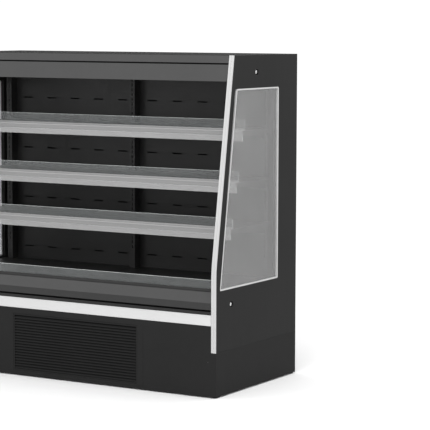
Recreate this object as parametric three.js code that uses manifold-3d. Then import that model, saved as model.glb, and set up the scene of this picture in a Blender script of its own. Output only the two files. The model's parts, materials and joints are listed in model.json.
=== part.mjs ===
// Open multideck display fridge, in millimetres, +Z up.
// The origin is on the floor under the middle of the cabinet, the open front faces -Y.
// Most shapes are given by how far back they lie from the front plane (back), and by height.
import * as THREE from 'three';
import { mergeVertices } from 'three/addons/utils/BufferGeometryUtils.js';
import Module from 'manifold-3d';

const wasm = await Module();
wasm.setup();

// ---- Driving dimensions -------------------------------------------------------------------

// Overall
const WIDTH = 2120;
const DEPTH = 980;
const HEIGHT = 2000;

// Fits
const SEAT = 0.3; // between two pieces that touch
const SHEET = 2; // folded sheet steel
const OVERLAP = 1; // how far the lumps of one welded piece run into each other
const ROUND_SIDES = 20; // flats of a turned face
const RING_SIDES = 32; // flats of a fan's opening
const PIN_SIDES = 12; // flats of a thin pin, shaft or pipe
const NUT_SIDES = 6;
const CUT_PAST = 5; // how far a cutter runs out of the piece that it cuts

// End panels and what is set in them
const PANEL_THICKNESS = 34;
const END_SEAM = 270; // seam between the plinth side and the end panel
const BEND_HEIGHT = 748; // where the front edge starts to lean back
const LEAN = 201; // how far back the front edge is at the top
const TRIM_WIDTH = 32;
const TRIM_THICKNESS = 5;
const TRIM_GROOVE = 2; // shallow line down the trim
const TRIM_GROOVE_INSET = 14; // from the outer face to the line
const WINDOW_FOOT = 630;
const WINDOW_HEAD_MARGIN = 196;
const WINDOW_REAR_MARGIN = 234;
const WINDOW_FRONT_MARGIN = 47;
const SEAL_BEAD = 9;
const SEAL_DEPTH = 14;
const GLASS_BITE = 4; // width of seal over the edge of the glass
const GLASS_THICKNESS = 6;
const GLASS_SETBACK = 3;

// End bolts
const BOLT_RECESS_RADIUS = 20;
const BOLT_RECESS_DEPTH = 12;
const BOLT_HEAD_RADIUS = 14;
const BOLT_HEAD_HEIGHT = 8;
const BOLT_DOME = [[1, 0.4], [0.7, 0.85]]; // corners, as shares of the head's radius and height
const BOLT_SHANK_RADIUS = 5;
const BOLT_GRIP = 22; // length of shank held in the insulated body
const BOLT_LOW = { back: 183, height: 538 };
const BOLT_HIGH = { back: 475, drop: 102 };

// Heights of the front, from the bumper up
const BUMPER_FOOT = 427;
const BUMPER_HEIGHT = 64;
const BUMPER_SETBACK = 1;
const BUMPER_ROUND = 4;
const BUMPER_WALL = 3;
const BUMPER_REACH = 21; // depth of the rail's flanges
const CARRIER_LIP = 19;
const CARRIER_SETBACK = 3;
const CARRIER_WALL = 3;
const NOSE_GROOVE = 11;
const NOSE_LOWER = 41;
const NOSE_UPPER = 60;
const NOSE_FOOT_SETBACK = 4;
const NOSE_KNEE_SETBACK = 8;
const NOSE_TOP_SETBACK = 34;
const NOSE_WALL = 3;

// Insulated body
const TUB_FOOT = 400;
const TUB_SETBACK = 42; // front face of the tub behind the front plane
const TUB_FLOOR = 40;
const TUB_FRONT_WALL = 38;
const TUB_END_WALL = 30;
const BACK_WALL = 50;
const ROOF_WALL = 75;
const ROOF_SPACE = 40; // above the roof's insulation
const ROOF_SETBACK = 39; // front of the roof's insulation behind the top of the lean

// Canopy
const COVER_FACE = 45.5;
const CANOPY_GROOVE = 9;
const FASCIA_FACE = 98;
const FASCIA_SETBACK = 8;
const FASCIA_RETURN = 20;
const OUTLET_DEPTH = 80;
const OUTLET_PITCH = 50;
const OUTLET_WEB = 5;
const SOFFIT_DROP = 35; // height of the air way over the soffit
const LIGHT_DEPTH = 44;

// Air duct, uprights and slots
const DUCT_DEPTH = 131;
const UPRIGHT_DEPTH = 61.7;
const UPRIGHT_WIDTH = 40;
const UPRIGHT_PLAY = 2; // between the outer uprights and the tub's end walls
const SLOT_PITCH = 30.5;
const SLOT_START = 13; // first slot above the deck
const SLOT_HEIGHT = 20;
const SLOT_WIDTH = 6;
const LOWEST_SLOT = 4;
const AIR_SLOT_WIDTH = 70;
const AIR_SLOT_HEIGHT = 8;
const AIR_SLOT_COLUMNS = 5;
const AIR_SLOT_ROWS = 7;
const AIR_SLOT_PITCH = 165;

// Deck
const DECK_FLANGE = 22; // deck's top above the tub's rim
const DECK_PLAY = 2; // round each deck pan
const RETURN_GRILLE_DEPTH = 71;
const RETURN_CHANNEL_DEPTH = 14;
const RETURN_SLOT_PITCH = 50;
const RETURN_SLOT_WIDTH = 34;
const RETURN_SLOT_MARGIN = 3; // in front of and behind each slot
const DECK_LIP = 18; // grille's front channel above the deck
const RISER_THICKNESS = 5;
const RISER_HEIGHT = 70; // above the deck
const RISER_BITE = 34; // depth of the riser in its channel

// Shelves, from the lowest up
const SHELF_DEPTHS = [466, 398, 326]; // in front of the uprights
const SHELF_GAPS = [9, 10]; // slots from each shelf to the next one up
const TOP_SHELF_CLEAR = 296; // at least, from the top shelf to the canopy
const SHELF_END_PLAY = 26;
const SHELF_FLANGE = 30;
const SHELF_REAR_PLAY = 8;
const SHELF_UPSTAND = 12;
const RAIL_HEIGHT = 66;
const RAIL_UPPER = 30; // height of the rail's opaque upper part
const RAIL_WALL = 2;
const RAIL_RIB = 1.5;
const RAIL_HOOK = 26;
const RAIL_CLIP = 9;
const STOP_HEIGHT = 65;
const STOP_THICKNESS = 3;
const BRACKET_THICKNESS = 3;
const BRACKET_NOSE = 22;
const BRACKET_TAB = 12; // height of each hook
const BRACKET_REACH = 14; // depth of each hook behind the upright's face
const SHELF_BAR = 20;

// Plinth
const PLINTH_CLEARANCE = 8; // above the floor
const PLINTH_REVEAL = 2; // under the bumper
const GRILLE_WIDTH = 920;
const GRILLE_OFFSET = 56; // grille's middle from the cabinet's middle
const GRILLE_FOOT_MARGIN = 27;
const GRILLE_HEAD_MARGIN = 35;
const GRILLE_FRAME = 9;
const GRILLE_DEPTH = 16;
const LOUVRE_PITCH = 17.4;
const LOUVRE_THICKNESS = 2.5;
const LOUVRE_RISE = 7; // how much lower a louvre's front edge is
const REAR_VENT_PITCH = 60;
const REAR_VENT_WIDTH = 30;
const REAR_VENT_HEIGHT = 120;
const CORD_POCKET_WIDTH = 90; // the pocket in the rear panel where the supply cord enters
const CORD_POCKET_HEIGHT = 70;
const CORD_POCKET_DEPTH = 30;
const CORD_POCKET_MARGIN = 150; // from the end panel's outer face to the gland
const GLAND_RADIUS = 12;
const GLAND_NUT = 6;
const GLAND_CAP_RADIUS = 9;
const GLAND_LENGTH = 17;
const CORD_RADIUS = 5;

// Chassis
const FRAME_TUBE = 50;
const FRAME_FOOT = 30; // frame's underside above the floor
const RAIL_SETBACK = 24; // frame's front rail behind the front plane
const POST_BEHIND = 28; // front posts behind the controller's pocket
const TRAY_THICKNESS = 3;
const FOOT_PAD_RADIUS = 23;
const FOOT_PAD_HEIGHT = 10;
const FOOT_PAD_EDGE = 6; // height of the pad's rim
const FOOT_PAD_COLLAR = 10; // radius of the pad's top
const FOOT_STEM_RADIUS = 6;
const FOOT_STEM_GRIP = 40; // stem inside the frame
const FOOT_NUT_RADIUS = 11;
const FOOT_NUT_HEIGHT = 9;

// Condensing unit
const CONDENSER_WIDTH = 600;
const CONDENSER_HEIGHT = 250;
const CONDENSER_DEPTH = 66;
const CONDENSER_BEHIND = 10; // behind the frame's front rail
const CONDENSER_RIM = 12;
const FIN_PITCH = 24;
const FIN_THICKNESS = 6;
const SHROUD_DEPTH = 40;
const CONDENSER_FAN_RADIUS = 108;
const CONDENSER_HUB_RADIUS = 34;
const CONDENSER_CHORD = 46;
const CONDENSER_MOTOR_RADIUS = 38;
const CONDENSER_MOTOR_LENGTH = 62;
const COMPRESSOR_RADIUS = 88;
const COMPRESSOR_HEIGHT = 190;
const COMPRESSOR_POT = [[0.8, 0], [1, 0.15], [1, 0.7], [0.85, 0.9], [0.45, 1]]; // as shares
const COMPRESSOR_GAP = 240; // behind the condenser's fan motor
const COMPRESSOR_SIDE = 110; // beside the middle of the grille
const COMPRESSOR_BASE = 210;
const COMPRESSOR_PLATE = 6;
const STUB_RADIUS = 6; // of its pipe stub
const STUB_REACH = 35;
const TERMINALS_REACH = 13;
const TERMINALS_WIDTH = 104;
const TERMINALS_HEIGHT = 70;

// Evaporator
const EVAPORATOR_END_PLAY = 130;
const EVAPORATOR_DEPTH = 300;
const EVAPORATOR_BEHIND = 34; // behind the fans' motors
const EVAPORATOR_FOOT = 8;
const EVAPORATOR_FIN_PITCH = 72;
const FAN_PLATE_BACK = 318;
const FAN_SPACING = 900;
const FAN_RADIUS = 66;
const FAN_HUB_RADIUS = 24;
const FAN_CHORD = 34;
const FAN_RING = 22; // depth of the ring round each fan
const FAN_MOTOR_RADIUS = 26;
const FAN_MOTOR_LENGTH = 38;
const DECK_BEAM_WIDTH = 30;
const DECK_BEAM_HEIGHT = 22;

// Fans
const BLADE_COUNT = 5;
const BLADE_THICKNESS = 3;
const BLADE_PITCH = 30 * (Math.PI / 180);
const TIP_GAP = 5;
const SHAFT_RADIUS = 4;
const MOTOR_ARMS = 3;
const MOTOR_ARM_WIDTH = 12;
const MOTOR_STANDOFF = 6; // between a fan's hub and the face that its motor's arms lie on

// Controller pocket
const POCKET_WIDTH = 160;
const POCKET_HEIGHT = 98;
const POCKET_INSET = 26; // from the end panel's inner face
const POCKET_DROP = 9; // under the plinth panel's top
const POCKET_WALL = 3;
const DISPLAY_WIDTH = 78;
const DISPLAY_HEIGHT = 36;
const DISPLAY_DEPTH = 18;
const DISPLAY_MARGIN = 12;
const SWITCH_WIDTH = 20;
const SWITCH_HEIGHT = 24;
const SWITCH_PLAY = 3; // above and below the rocker
const SWITCH_BEZEL = 4;
const SWITCH_DEPTH = 16;
const SWITCH_FACE = 9; // the rocker's edges in front of its pivot
const SWITCH_ROOT = 3; // the rocker's body behind its pivot
const SWITCH_TAPER = 3.5;
const SWITCH_DISH = 2.5; // the rocker's middle behind its two edges
const SWITCH_THROW = 7 * (Math.PI / 180);
const SWITCH_PIN_RADIUS = 2;
const SWITCH_PIN_LENGTH = 2;

// ---- Places that follow from the sizes ----------------------------------------------------

const FRONT_Y = -DEPTH / 2;
const OUTER_X = WIDTH / 2;
const INNER_X = OUTER_X - PANEL_THICKNESS;
const END_X = INNER_X - SEAT; // end of a piece that meets the end panels
const LEAN_SLOPE = LEAN / (HEIGHT - BEND_HEIGHT);
const LEAN_STRETCH = Math.hypot(1, LEAN_SLOPE);

const BUMPER_TOP = BUMPER_FOOT + BUMPER_HEIGHT;
const LIP_TOP = BUMPER_TOP + CARRIER_LIP;
const NOSE_FOOT = LIP_TOP + NOSE_GROOVE;
const NOSE_KNEE = NOSE_FOOT + NOSE_LOWER;
const DECK_TOP = NOSE_KNEE + NOSE_UPPER;
const RIM_TOP = DECK_TOP - DECK_FLANGE;
const TUB_FACE = TUB_SETBACK - SEAT; // rear of what is fixed to the tub's front
const TUB_INSIDE = TUB_FOOT + TUB_FLOOR;
const POCKET_DEPTH = TUB_FACE; // the controller's pocket ends against the tub

const ROOF_TOP = HEIGHT - ROOF_SPACE;
const ROOF_UNDERSIDE = ROOF_TOP - ROOF_WALL;
const ROOF_FRONT = LEAN + ROOF_SETBACK;
const GROOVE_TOP = HEIGHT - COVER_FACE;
const FASCIA_TOP = GROOVE_TOP - CANOPY_GROOVE;
const CANOPY_FOOT = FASCIA_TOP - FASCIA_FACE;
const SOFFIT_TOP = ROOF_UNDERSIDE - SOFFIT_DROP;

const DUCT_BACK = DEPTH - BACK_WALL - DUCT_DEPTH; // rear face of the inner back panel
const DUCT_FRONT = DUCT_BACK - SHEET;
const UPRIGHT_BACK = DUCT_FRONT - SEAT;
const UPRIGHT_FRONT = UPRIGHT_BACK - UPRIGHT_DEPTH;
const UPRIGHT_X = END_X - TUB_END_WALL - UPRIGHT_PLAY - UPRIGHT_WIDTH / 2;
const UPRIGHTS = { left: -UPRIGHT_X, centre: 0, right: UPRIGHT_X };

const GRILLE_BACK = TUB_SETBACK + RETURN_GRILLE_DEPTH;
const PAN_FRONT = GRILLE_BACK + DECK_PLAY;
const PLINTH_TOP = BUMPER_FOOT - PLINTH_REVEAL;
const FRAME_TOP = FRAME_FOOT + FRAME_TUBE;
const FRAME_END = OUTER_X - SHEET - SEAT;
const FRAME_BACK = DEPTH - SHEET - SEAT;
const TRAY_TOP = FRAME_TOP + TRAY_THICKNESS;
const CONDENSER_FRONT = RAIL_SETBACK + FRAME_TUBE + CONDENSER_BEHIND;
const SHROUD_FRONT = CONDENSER_FRONT + CONDENSER_DEPTH + SEAT;
const SHROUD_BACK = SHROUD_FRONT + SHROUD_DEPTH;
const FAN_PLATE_TOP = DECK_TOP - SHEET - SEAT;
const FAN_HEIGHT = (TUB_INSIDE + RIM_TOP) / 2;
const EVAPORATOR_FRONT = FAN_PLATE_BACK + FAN_MOTOR_LENGTH + EVAPORATOR_BEHIND;

// ---- Making solids ------------------------------------------------------------------------

// A closed geometry as a solid: shared corners are merged and collapsed triangles dropped.
function solidOf(geometry) {
  const bare = geometry.clone();
  bare.deleteAttribute('normal');
  bare.deleteAttribute('uv');
  const merged = mergeVertices(bare);
  const corners = merged.index.array;
  const kept = [];
  for (let i = 0; i < corners.length; i += 3) {
    const [a, b, c] = corners.slice(i, i + 3);
    if (a !== b && b !== c && c !== a) kept.push(a, b, c);
  }
  return new wasm.Manifold(new wasm.Mesh({
    numProp: 3,
    vertProperties: new Float32Array(merged.attributes.position.array),
    triVerts: new Uint32Array(kept),
  }));
}

// The drawable geometry of a solid.
function geometryOf(solid) {
  const { numProp, vertProperties, triVerts } = solid.getMesh();
  const places = new Float32Array((vertProperties.length / numProp) * 3);
  for (let i = 0; i < places.length / 3; i++) {
    for (let axis = 0; axis < 3; axis++) places[3 * i + axis] = vertProperties[numProp * i + axis];
  }
  const geometry = new THREE.BufferGeometry();
  geometry.setAttribute('position', new THREE.BufferAttribute(places, 3));
  geometry.setIndex(new THREE.BufferAttribute(new Uint32Array(triVerts), 1));
  geometry.computeVertexNormals();
  return geometry;
}

const join = (...solids) => solids.reduce((whole, solid) => whole.add(solid));
const cut = (solid, ...cutters) => cutters.reduce((rest, cutter) => rest.subtract(cutter), solid);

// The limits of a piece on one side of the cabinet, from its inner to its outer face.
const onSide = (side, inner, outer) => (side > 0 ? [inner, outer] : [-outer, -inner]);

// A geometry with each corner moved to where a function puts it. Corners that should lie in
// one plane get the very same number, so flush faces stay flush.
function placed(geometry, place) {
  const corners = geometry.attributes.position;
  for (let i = 0; i < corners.count; i++) {
    corners.setXYZ(i, ...place(corners.getX(i), corners.getY(i), corners.getZ(i)));
  }
  return geometry;
}

// An outline of [a, b] points made solid, with its third number 0 at one end and 1 at the other.
function prism(outline) {
  const shape = new THREE.Shape(outline.map(([a, b]) => new THREE.Vector2(a, b)));
  return new THREE.ExtrudeGeometry(shape, { depth: 1, bevelEnabled: false });
}

const pick = (share, [low, high]) => (share > 0.5 ? high : low);

// An outline of [back, height] points carried across the cabinet from x0 to x1.
function across(outline, limits) {
  const section = prism(outline.map(([back, height]) => [FRONT_Y + back, height]));
  return solidOf(placed(section, (a, b, t) => [pick(t, limits), a, b]));
}

// An outline of [x, back] points carried up from z0 to z1.
function upward(outline, limits) {
  const section = prism(outline.map(([x, back]) => [x, FRONT_Y + back]));
  return solidOf(placed(section, (a, b, t) => [a, b, pick(t, limits)]));
}

// An outline of [x, height] points carried from back0 to back1.
function backward(outline, [back0, back1]) {
  return solidOf(placed(prism(outline), (a, b, t) => [a, FRONT_Y + pick(t, [back1, back0]), b]));
}

// A block between limits of x, of distance back and of height.
function block(xs, backs, zs) {
  const corner = (a, b, c) => [
    pick(a + 0.5, xs),
    FRONT_Y + pick(b + 0.5, backs),
    pick(c + 0.5, zs),
  ];
  return solidOf(placed(new THREE.BoxGeometry(1, 1, 1), corner));
}

// The limits of a cutter that runs out of both faces.
const past = ([low, high]) => [low - CUT_PAST, high + CUT_PAST];

// The places of a number of things spaced evenly about a middle.
const row = (count, middle, pitch) => (
  Array.from({ length: count }, (_, i) => middle + (i - (count - 1) / 2) * pitch)
);

// A round bar along Y, from back0 to back1.
function barBackward(x, height, [back0, back1], radius, sides = ROUND_SIDES) {
  const bar = new THREE.CylinderGeometry(radius, radius, back1 - back0, sides);
  return solidOf(bar.translate(x, FRONT_Y + (back0 + back1) / 2, height));
}

// A round bar along X, from x0 to x1.
function barAcross(back, height, [x0, x1], radius, sides = ROUND_SIDES) {
  const bar = new THREE.CylinderGeometry(radius, radius, x1 - x0, sides).rotateZ(-Math.PI / 2);
  return solidOf(bar.translate((x0 + x1) / 2, FRONT_Y + back, height));
}

// A profile of [radius, height] points, from the bottom up, turned about +Z.
function turned(profile, sides = ROUND_SIDES) {
  const points = profile.map(([radius, height]) => new THREE.Vector2(radius, height));
  return new THREE.LatheGeometry(points, sides).rotateX(Math.PI / 2);
}

// A convex outline, given anticlockwise, with every edge moved inwards.
function inset(outline, distance) {
  const count = outline.length;
  const edges = outline.map(([a, b], i) => {
    const [c, d] = outline[(i + 1) % count];
    const length = Math.hypot(c - a, d - b);
    const along = [(c - a) / length, (d - b) / length];
    return { at: [a - along[1] * distance, b + along[0] * distance], along };
  });
  return edges.map((edge, i) => {
    const before = edges[(i + count - 1) % count];
    const [ex, ey] = edge.along;
    const [bx, by] = before.along;
    const turn = bx * ey - by * ex;
    const gap = [edge.at[0] - before.at[0], edge.at[1] - before.at[1]];
    const reach = (gap[0] * ey - gap[1] * ex) / turn;
    return [before.at[0] + bx * reach, before.at[1] + by * reach];
  });
}

const cabinet = new THREE.Group();

function add(name, solid, color, roughness = 0.5, metalness = 0.2, opacity = 1) {
  const material = new THREE.MeshStandardMaterial({ color, roughness, metalness });
  if (opacity < 1) Object.assign(material, { opacity, transparent: true });
  const mesh = new THREE.Mesh(geometryOf(solid), material);
  mesh.name = name;
  cabinet.add(mesh);
}

// ---- End panels ---------------------------------------------------------------------------

// How far back the cabinet's front edge is at a height.
const frontEdge = (height) => Math.max(0, (height - BEND_HEIGHT) * LEAN_SLOPE);

// The front edge moved back square to itself, from the panel's foot to its top.
function frontLine(offset) {
  const bend = BEND_HEIGHT + (offset * (1 - LEAN_STRETCH)) / LEAN_SLOPE;
  const top = [LEAN + offset * LEAN_STRETCH, HEIGHT];
  return [[offset, END_SEAM], [offset, bend], top];
}

function windowOutline(distance) {
  const head = HEIGHT - WINDOW_HEAD_MARGIN;
  const rear = DEPTH - WINDOW_REAR_MARGIN;
  const corners = [
    [frontEdge(WINDOW_FOOT) + WINDOW_FRONT_MARGIN, WINDOW_FOOT],
    [rear, WINDOW_FOOT],
    [rear, head],
    [frontEdge(head) + WINDOW_FRONT_MARGIN, head],
  ];
  return inset(corners, distance);
}

const BOLTS = {
  lower: { back: BOLT_LOW.back, height: BOLT_LOW.height },
  upper: { back: BOLT_HIGH.back, height: HEIGHT - BOLT_HIGH.drop },
};
const BOLT_SEAT_X = OUTER_X - BOLT_RECESS_DEPTH;
const BOLT_TIP_X = END_X - BOLT_GRIP;

function boltHole(side, { back, height }) {
  const shank = onSide(side, BOLT_TIP_X - SEAT, OUTER_X + CUT_PAST);
  return barAcross(back, height, shank, BOLT_SHANK_RADIUS + SEAT);
}

function endPanel(side) {
  const outline = [...frontLine(TRIM_THICKNESS + SEAT), [DEPTH, HEIGHT], [DEPTH, END_SEAM]];
  const panel = across(outline, onSide(side, INNER_X, OUTER_X));
  const window = across(windowOutline(0), past(onSide(side, INNER_X, OUTER_X)));
  const holes = Object.values(BOLTS).flatMap((bolt) => {
    const recess = onSide(side, BOLT_SEAT_X, OUTER_X + CUT_PAST);
    const pocket = barAcross(bolt.back, bolt.height, recess, BOLT_RECESS_RADIUS);
    return [pocket, boltHole(side, bolt)];
  });
  return cut(panel, window, ...holes);
}

function edgeTrim(side) {
  const outline = [...frontLine(0), ...frontLine(TRIM_THICKNESS).reverse()];
  const line = [...frontLine(-CUT_PAST), ...frontLine(TRIM_GROOVE / 2).reverse()];
  const lineInner = OUTER_X - TRIM_GROOVE_INSET - TRIM_GROOVE;
  const strip = across(outline, onSide(side, OUTER_X - TRIM_WIDTH, OUTER_X));
  return cut(strip, across(line, onSide(side, lineInner, lineInner + TRIM_GROOVE)));
}

function windowSeal(side) {
  const depth = onSide(side, OUTER_X - SEAL_DEPTH, OUTER_X);
  const ring = cut(across(windowOutline(SEAT), depth), across(windowOutline(SEAL_BEAD), past(depth)));
  const outside = OUTER_X - GLASS_SETBACK + SEAT;
  const inside = OUTER_X - GLASS_SETBACK - GLASS_THICKNESS - SEAT;
  const channel = across(windowOutline(SEAL_BEAD - GLASS_BITE), onSide(side, inside, outside));
  return cut(ring, channel);
}

function windowGlass(side) {
  const outside = OUTER_X - GLASS_SETBACK;
  const thickness = onSide(side, outside - GLASS_THICKNESS, outside);
  return across(windowOutline(SEAL_BEAD - GLASS_BITE + SEAT), thickness);
}

// A domed head on a shank, with its axis across the cabinet.
function endBolt(side, { back, height }) {
  const seat = BOLT_SEAT_X + SEAT;
  const profile = [
    [0, BOLT_TIP_X - seat],
    [BOLT_SHANK_RADIUS, BOLT_TIP_X - seat],
    [BOLT_SHANK_RADIUS, 0],
    [BOLT_HEAD_RADIUS, 0],
    ...BOLT_DOME.map(([out, up]) => [out * BOLT_HEAD_RADIUS, up * BOLT_HEAD_HEIGHT]),
    [0, BOLT_HEAD_HEIGHT],
  ];
  const bolt = turned(profile).rotateY((side * Math.PI) / 2);
  return solidOf(bolt.translate(side * seat, FRONT_Y + back, height));
}

// ---- Insulated body and what is fixed to its front ----------------------------------------

// A tub whose rear wall goes on up as the back, and a roof that stands out from the back.
function insulatedBody() {
  const backFace = DEPTH - BACK_WALL;
  const section = [
    [TUB_SETBACK, TUB_FOOT],
    [DEPTH, TUB_FOOT],
    [DEPTH, ROOF_TOP],
    [ROOF_FRONT, ROOF_TOP],
    [ROOF_FRONT, ROOF_UNDERSIDE],
    [backFace, ROOF_UNDERSIDE],
    [backFace, RIM_TOP],
    [TUB_SETBACK, RIM_TOP],
  ];
  const tub = block(
    [TUB_END_WALL - END_X, END_X - TUB_END_WALL],
    [TUB_SETBACK + TUB_FRONT_WALL, backFace],
    [TUB_INSIDE, RIM_TOP + CUT_PAST],
  );
  const holes = Object.values(BOLTS).flatMap((bolt) => [boltHole(-1, bolt), boltHole(1, bolt)]);
  return cut(across(section, [-END_X, END_X]), tub, ...holes);
}

function noseProfile() {
  const outline = [
    [TUB_FACE, DECK_TOP],
    [NOSE_TOP_SETBACK, DECK_TOP],
    [NOSE_KNEE_SETBACK, NOSE_KNEE],
    [NOSE_FOOT_SETBACK, NOSE_FOOT],
    [TUB_FACE, NOSE_FOOT],
    [TUB_FACE, NOSE_FOOT + NOSE_WALL],
    [NOSE_FOOT_SETBACK + NOSE_WALL, NOSE_FOOT + NOSE_WALL],
    [NOSE_KNEE_SETBACK + NOSE_WALL, NOSE_KNEE],
    [NOSE_TOP_SETBACK + NOSE_WALL / 2, DECK_TOP - NOSE_WALL],
    [TUB_FACE, DECK_TOP - NOSE_WALL],
  ];
  return across(outline, [-END_X, END_X]);
}

// The carrier's back plate, which the bumper rail's flanges reach.
const CARRIER_PLATE = BUMPER_SETBACK + BUMPER_REACH + SEAT;

function bumperCarrier() {
  const outline = [
    [CARRIER_SETBACK, LIP_TOP],
    [CARRIER_SETBACK, BUMPER_TOP + SEAT],
    [CARRIER_SETBACK + CARRIER_WALL, BUMPER_TOP + SEAT],
    [CARRIER_SETBACK + CARRIER_WALL, LIP_TOP - CARRIER_WALL],
    [CARRIER_PLATE, LIP_TOP - CARRIER_WALL],
    [CARRIER_PLATE, BUMPER_FOOT],
    [TUB_FACE, BUMPER_FOOT],
    [TUB_FACE, BUMPER_FOOT + CARRIER_WALL],
    [CARRIER_PLATE + CARRIER_WALL, BUMPER_FOOT + CARRIER_WALL],
    [CARRIER_PLATE + CARRIER_WALL, LIP_TOP - CARRIER_WALL],
    [TUB_FACE, LIP_TOP - CARRIER_WALL],
    [TUB_FACE, LIP_TOP],
  ];
  return across(outline, [-END_X, END_X]);
}

// A channel with rounded front corners, open to the back.
function bumperRail() {
  const front = BUMPER_SETBACK;
  const rear = BUMPER_SETBACK + BUMPER_REACH;
  const steps = 4;
  const corner = (centre, start) => Array.from({ length: steps + 1 }, (_, i) => {
    const angle = start - (i * Math.PI) / 2 / steps;
    const back = front + BUMPER_ROUND + BUMPER_ROUND * Math.cos(angle);
    return [back, centre + BUMPER_ROUND * Math.sin(angle)];
  });
  const outline = [
    [rear, BUMPER_FOOT],
    ...corner(BUMPER_FOOT + BUMPER_ROUND, 1.5 * Math.PI),
    ...corner(BUMPER_TOP - BUMPER_ROUND, Math.PI),
    [rear, BUMPER_TOP],
    [rear, BUMPER_TOP - BUMPER_WALL],
    [front + BUMPER_WALL, BUMPER_TOP - BUMPER_WALL],
    [front + BUMPER_WALL, BUMPER_FOOT + BUMPER_WALL],
    [rear, BUMPER_FOOT + BUMPER_WALL],
  ];
  return across(outline, [-END_X, END_X]);
}

// ---- Canopy -------------------------------------------------------------------------------

const fasciaLine = (height) => frontEdge(height) + FASCIA_SETBACK;

function roofCover() {
  const foot = fasciaLine(GROOVE_TOP);
  const head = fasciaLine(HEIGHT);
  const outline = [
    [ROOF_FRONT - SEAT, GROOVE_TOP],
    [foot, GROOVE_TOP],
    [head, HEIGHT],
    [DEPTH, HEIGHT],
    [DEPTH, ROOF_TOP + SEAT],
    [DEPTH - SHEET, ROOF_TOP + SEAT],
    [DEPTH - SHEET, HEIGHT - SHEET],
    [head + SHEET, HEIGHT - SHEET],
    [foot + SHEET, GROOVE_TOP + SHEET],
    [ROOF_FRONT - SEAT, GROOVE_TOP + SHEET],
  ];
  return across(outline, [-END_X, END_X]);
}

function canopyFascia() {
  const foot = fasciaLine(CANOPY_FOOT);
  const head = fasciaLine(FASCIA_TOP);
  const outline = [
    [foot + FASCIA_RETURN, CANOPY_FOOT],
    [foot, CANOPY_FOOT],
    [head, FASCIA_TOP],
    [ROOF_FRONT - SEAT, FASCIA_TOP],
    [ROOF_FRONT - SEAT, FASCIA_TOP - SHEET],
    [head + SHEET, FASCIA_TOP - SHEET],
    [foot + SHEET, CANOPY_FOOT + SHEET],
    [foot + FASCIA_RETURN, CANOPY_FOOT + SHEET],
  ];
  return across(outline, [-END_X, END_X]);
}

// The light bar, the air outlet and the soffit follow each other to the back.
const LIGHT_FRONT = fasciaLine(CANOPY_FOOT) + FASCIA_RETURN + SEAT;
const LIGHT_REAR = LIGHT_FRONT + LIGHT_DEPTH;
const OUTLET_FRONT = LIGHT_REAR + SEAT;
const SOFFIT_FRONT = OUTLET_FRONT + OUTLET_DEPTH + SEAT;

function lightBar() {
  const outline = [
    [LIGHT_FRONT, CANOPY_FOOT],
    [(LIGHT_FRONT + LIGHT_REAR) / 2, SOFFIT_TOP - SHEET],
    [LIGHT_REAR, SOFFIT_TOP],
    [LIGHT_REAR, ROOF_UNDERSIDE - SEAT],
    [LIGHT_FRONT, ROOF_UNDERSIDE - SEAT],
  ];
  return across(outline, [-END_X, END_X]);
}

function airOutlet() {
  const front = OUTLET_FRONT;
  const rear = OUTLET_FRONT + OUTLET_DEPTH;
  const level = [SOFFIT_TOP, ROOF_UNDERSIDE - SEAT];
  const cells = Math.floor((2 * END_X - OUTLET_WEB) / OUTLET_PITCH);
  const holes = row(cells, 0, OUTLET_PITCH).map((x) => block(
    [x - (OUTLET_PITCH - OUTLET_WEB) / 2, x + (OUTLET_PITCH - OUTLET_WEB) / 2],
    [front + OUTLET_WEB, rear - OUTLET_WEB],
    past(level),
  ));
  return cut(block([-END_X, END_X], [front, rear], level), ...holes);
}

// ---- Air duct and uprights ----------------------------------------------------------------

// The perforated inner back, folded forward at the top as the soffit and at the bottom.
function ductPanel() {
  const outline = [
    [DUCT_FRONT, RIM_TOP],
    [DUCT_BACK, RIM_TOP],
    [DUCT_BACK, SOFFIT_TOP],
    [SOFFIT_FRONT, SOFFIT_TOP],
    [SOFFIT_FRONT, SOFFIT_TOP - SHEET],
    [DUCT_FRONT, SOFFIT_TOP - SHEET],
  ];
  const bay = UPRIGHTS.right - UPRIGHT_WIDTH;
  const columnPitch = bay / AIR_SLOT_COLUMNS;
  const slots = [];
  for (const side of [-1, 1]) {
    for (let column = 0; column < AIR_SLOT_COLUMNS; column++) {
      for (let row = 0; row < AIR_SLOT_ROWS; row++) {
        const x = side * (UPRIGHT_WIDTH / 2 + (column + 0.5) * columnPitch);
        const z = DECK_TOP + AIR_SLOT_PITCH * (row + 0.5);
        if (z + AIR_SLOT_HEIGHT > SOFFIT_TOP - SHEET) continue;
        slots.push(block(
          [x - AIR_SLOT_WIDTH / 2, x + AIR_SLOT_WIDTH / 2],
          [DUCT_FRONT - CUT_PAST, DUCT_BACK + CUT_PAST],
          [z - AIR_SLOT_HEIGHT / 2, z + AIR_SLOT_HEIGHT / 2],
        ));
      }
    }
  }
  return cut(across(outline, [-END_X, END_X]), ...slots);
}

const slotHeight = (slot) => DECK_TOP + SLOT_START + slot * SLOT_PITCH;
const HIGHEST_SLOT = Math.floor((SOFFIT_TOP - SLOT_HEIGHT - slotHeight(0)) / SLOT_PITCH);

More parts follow.
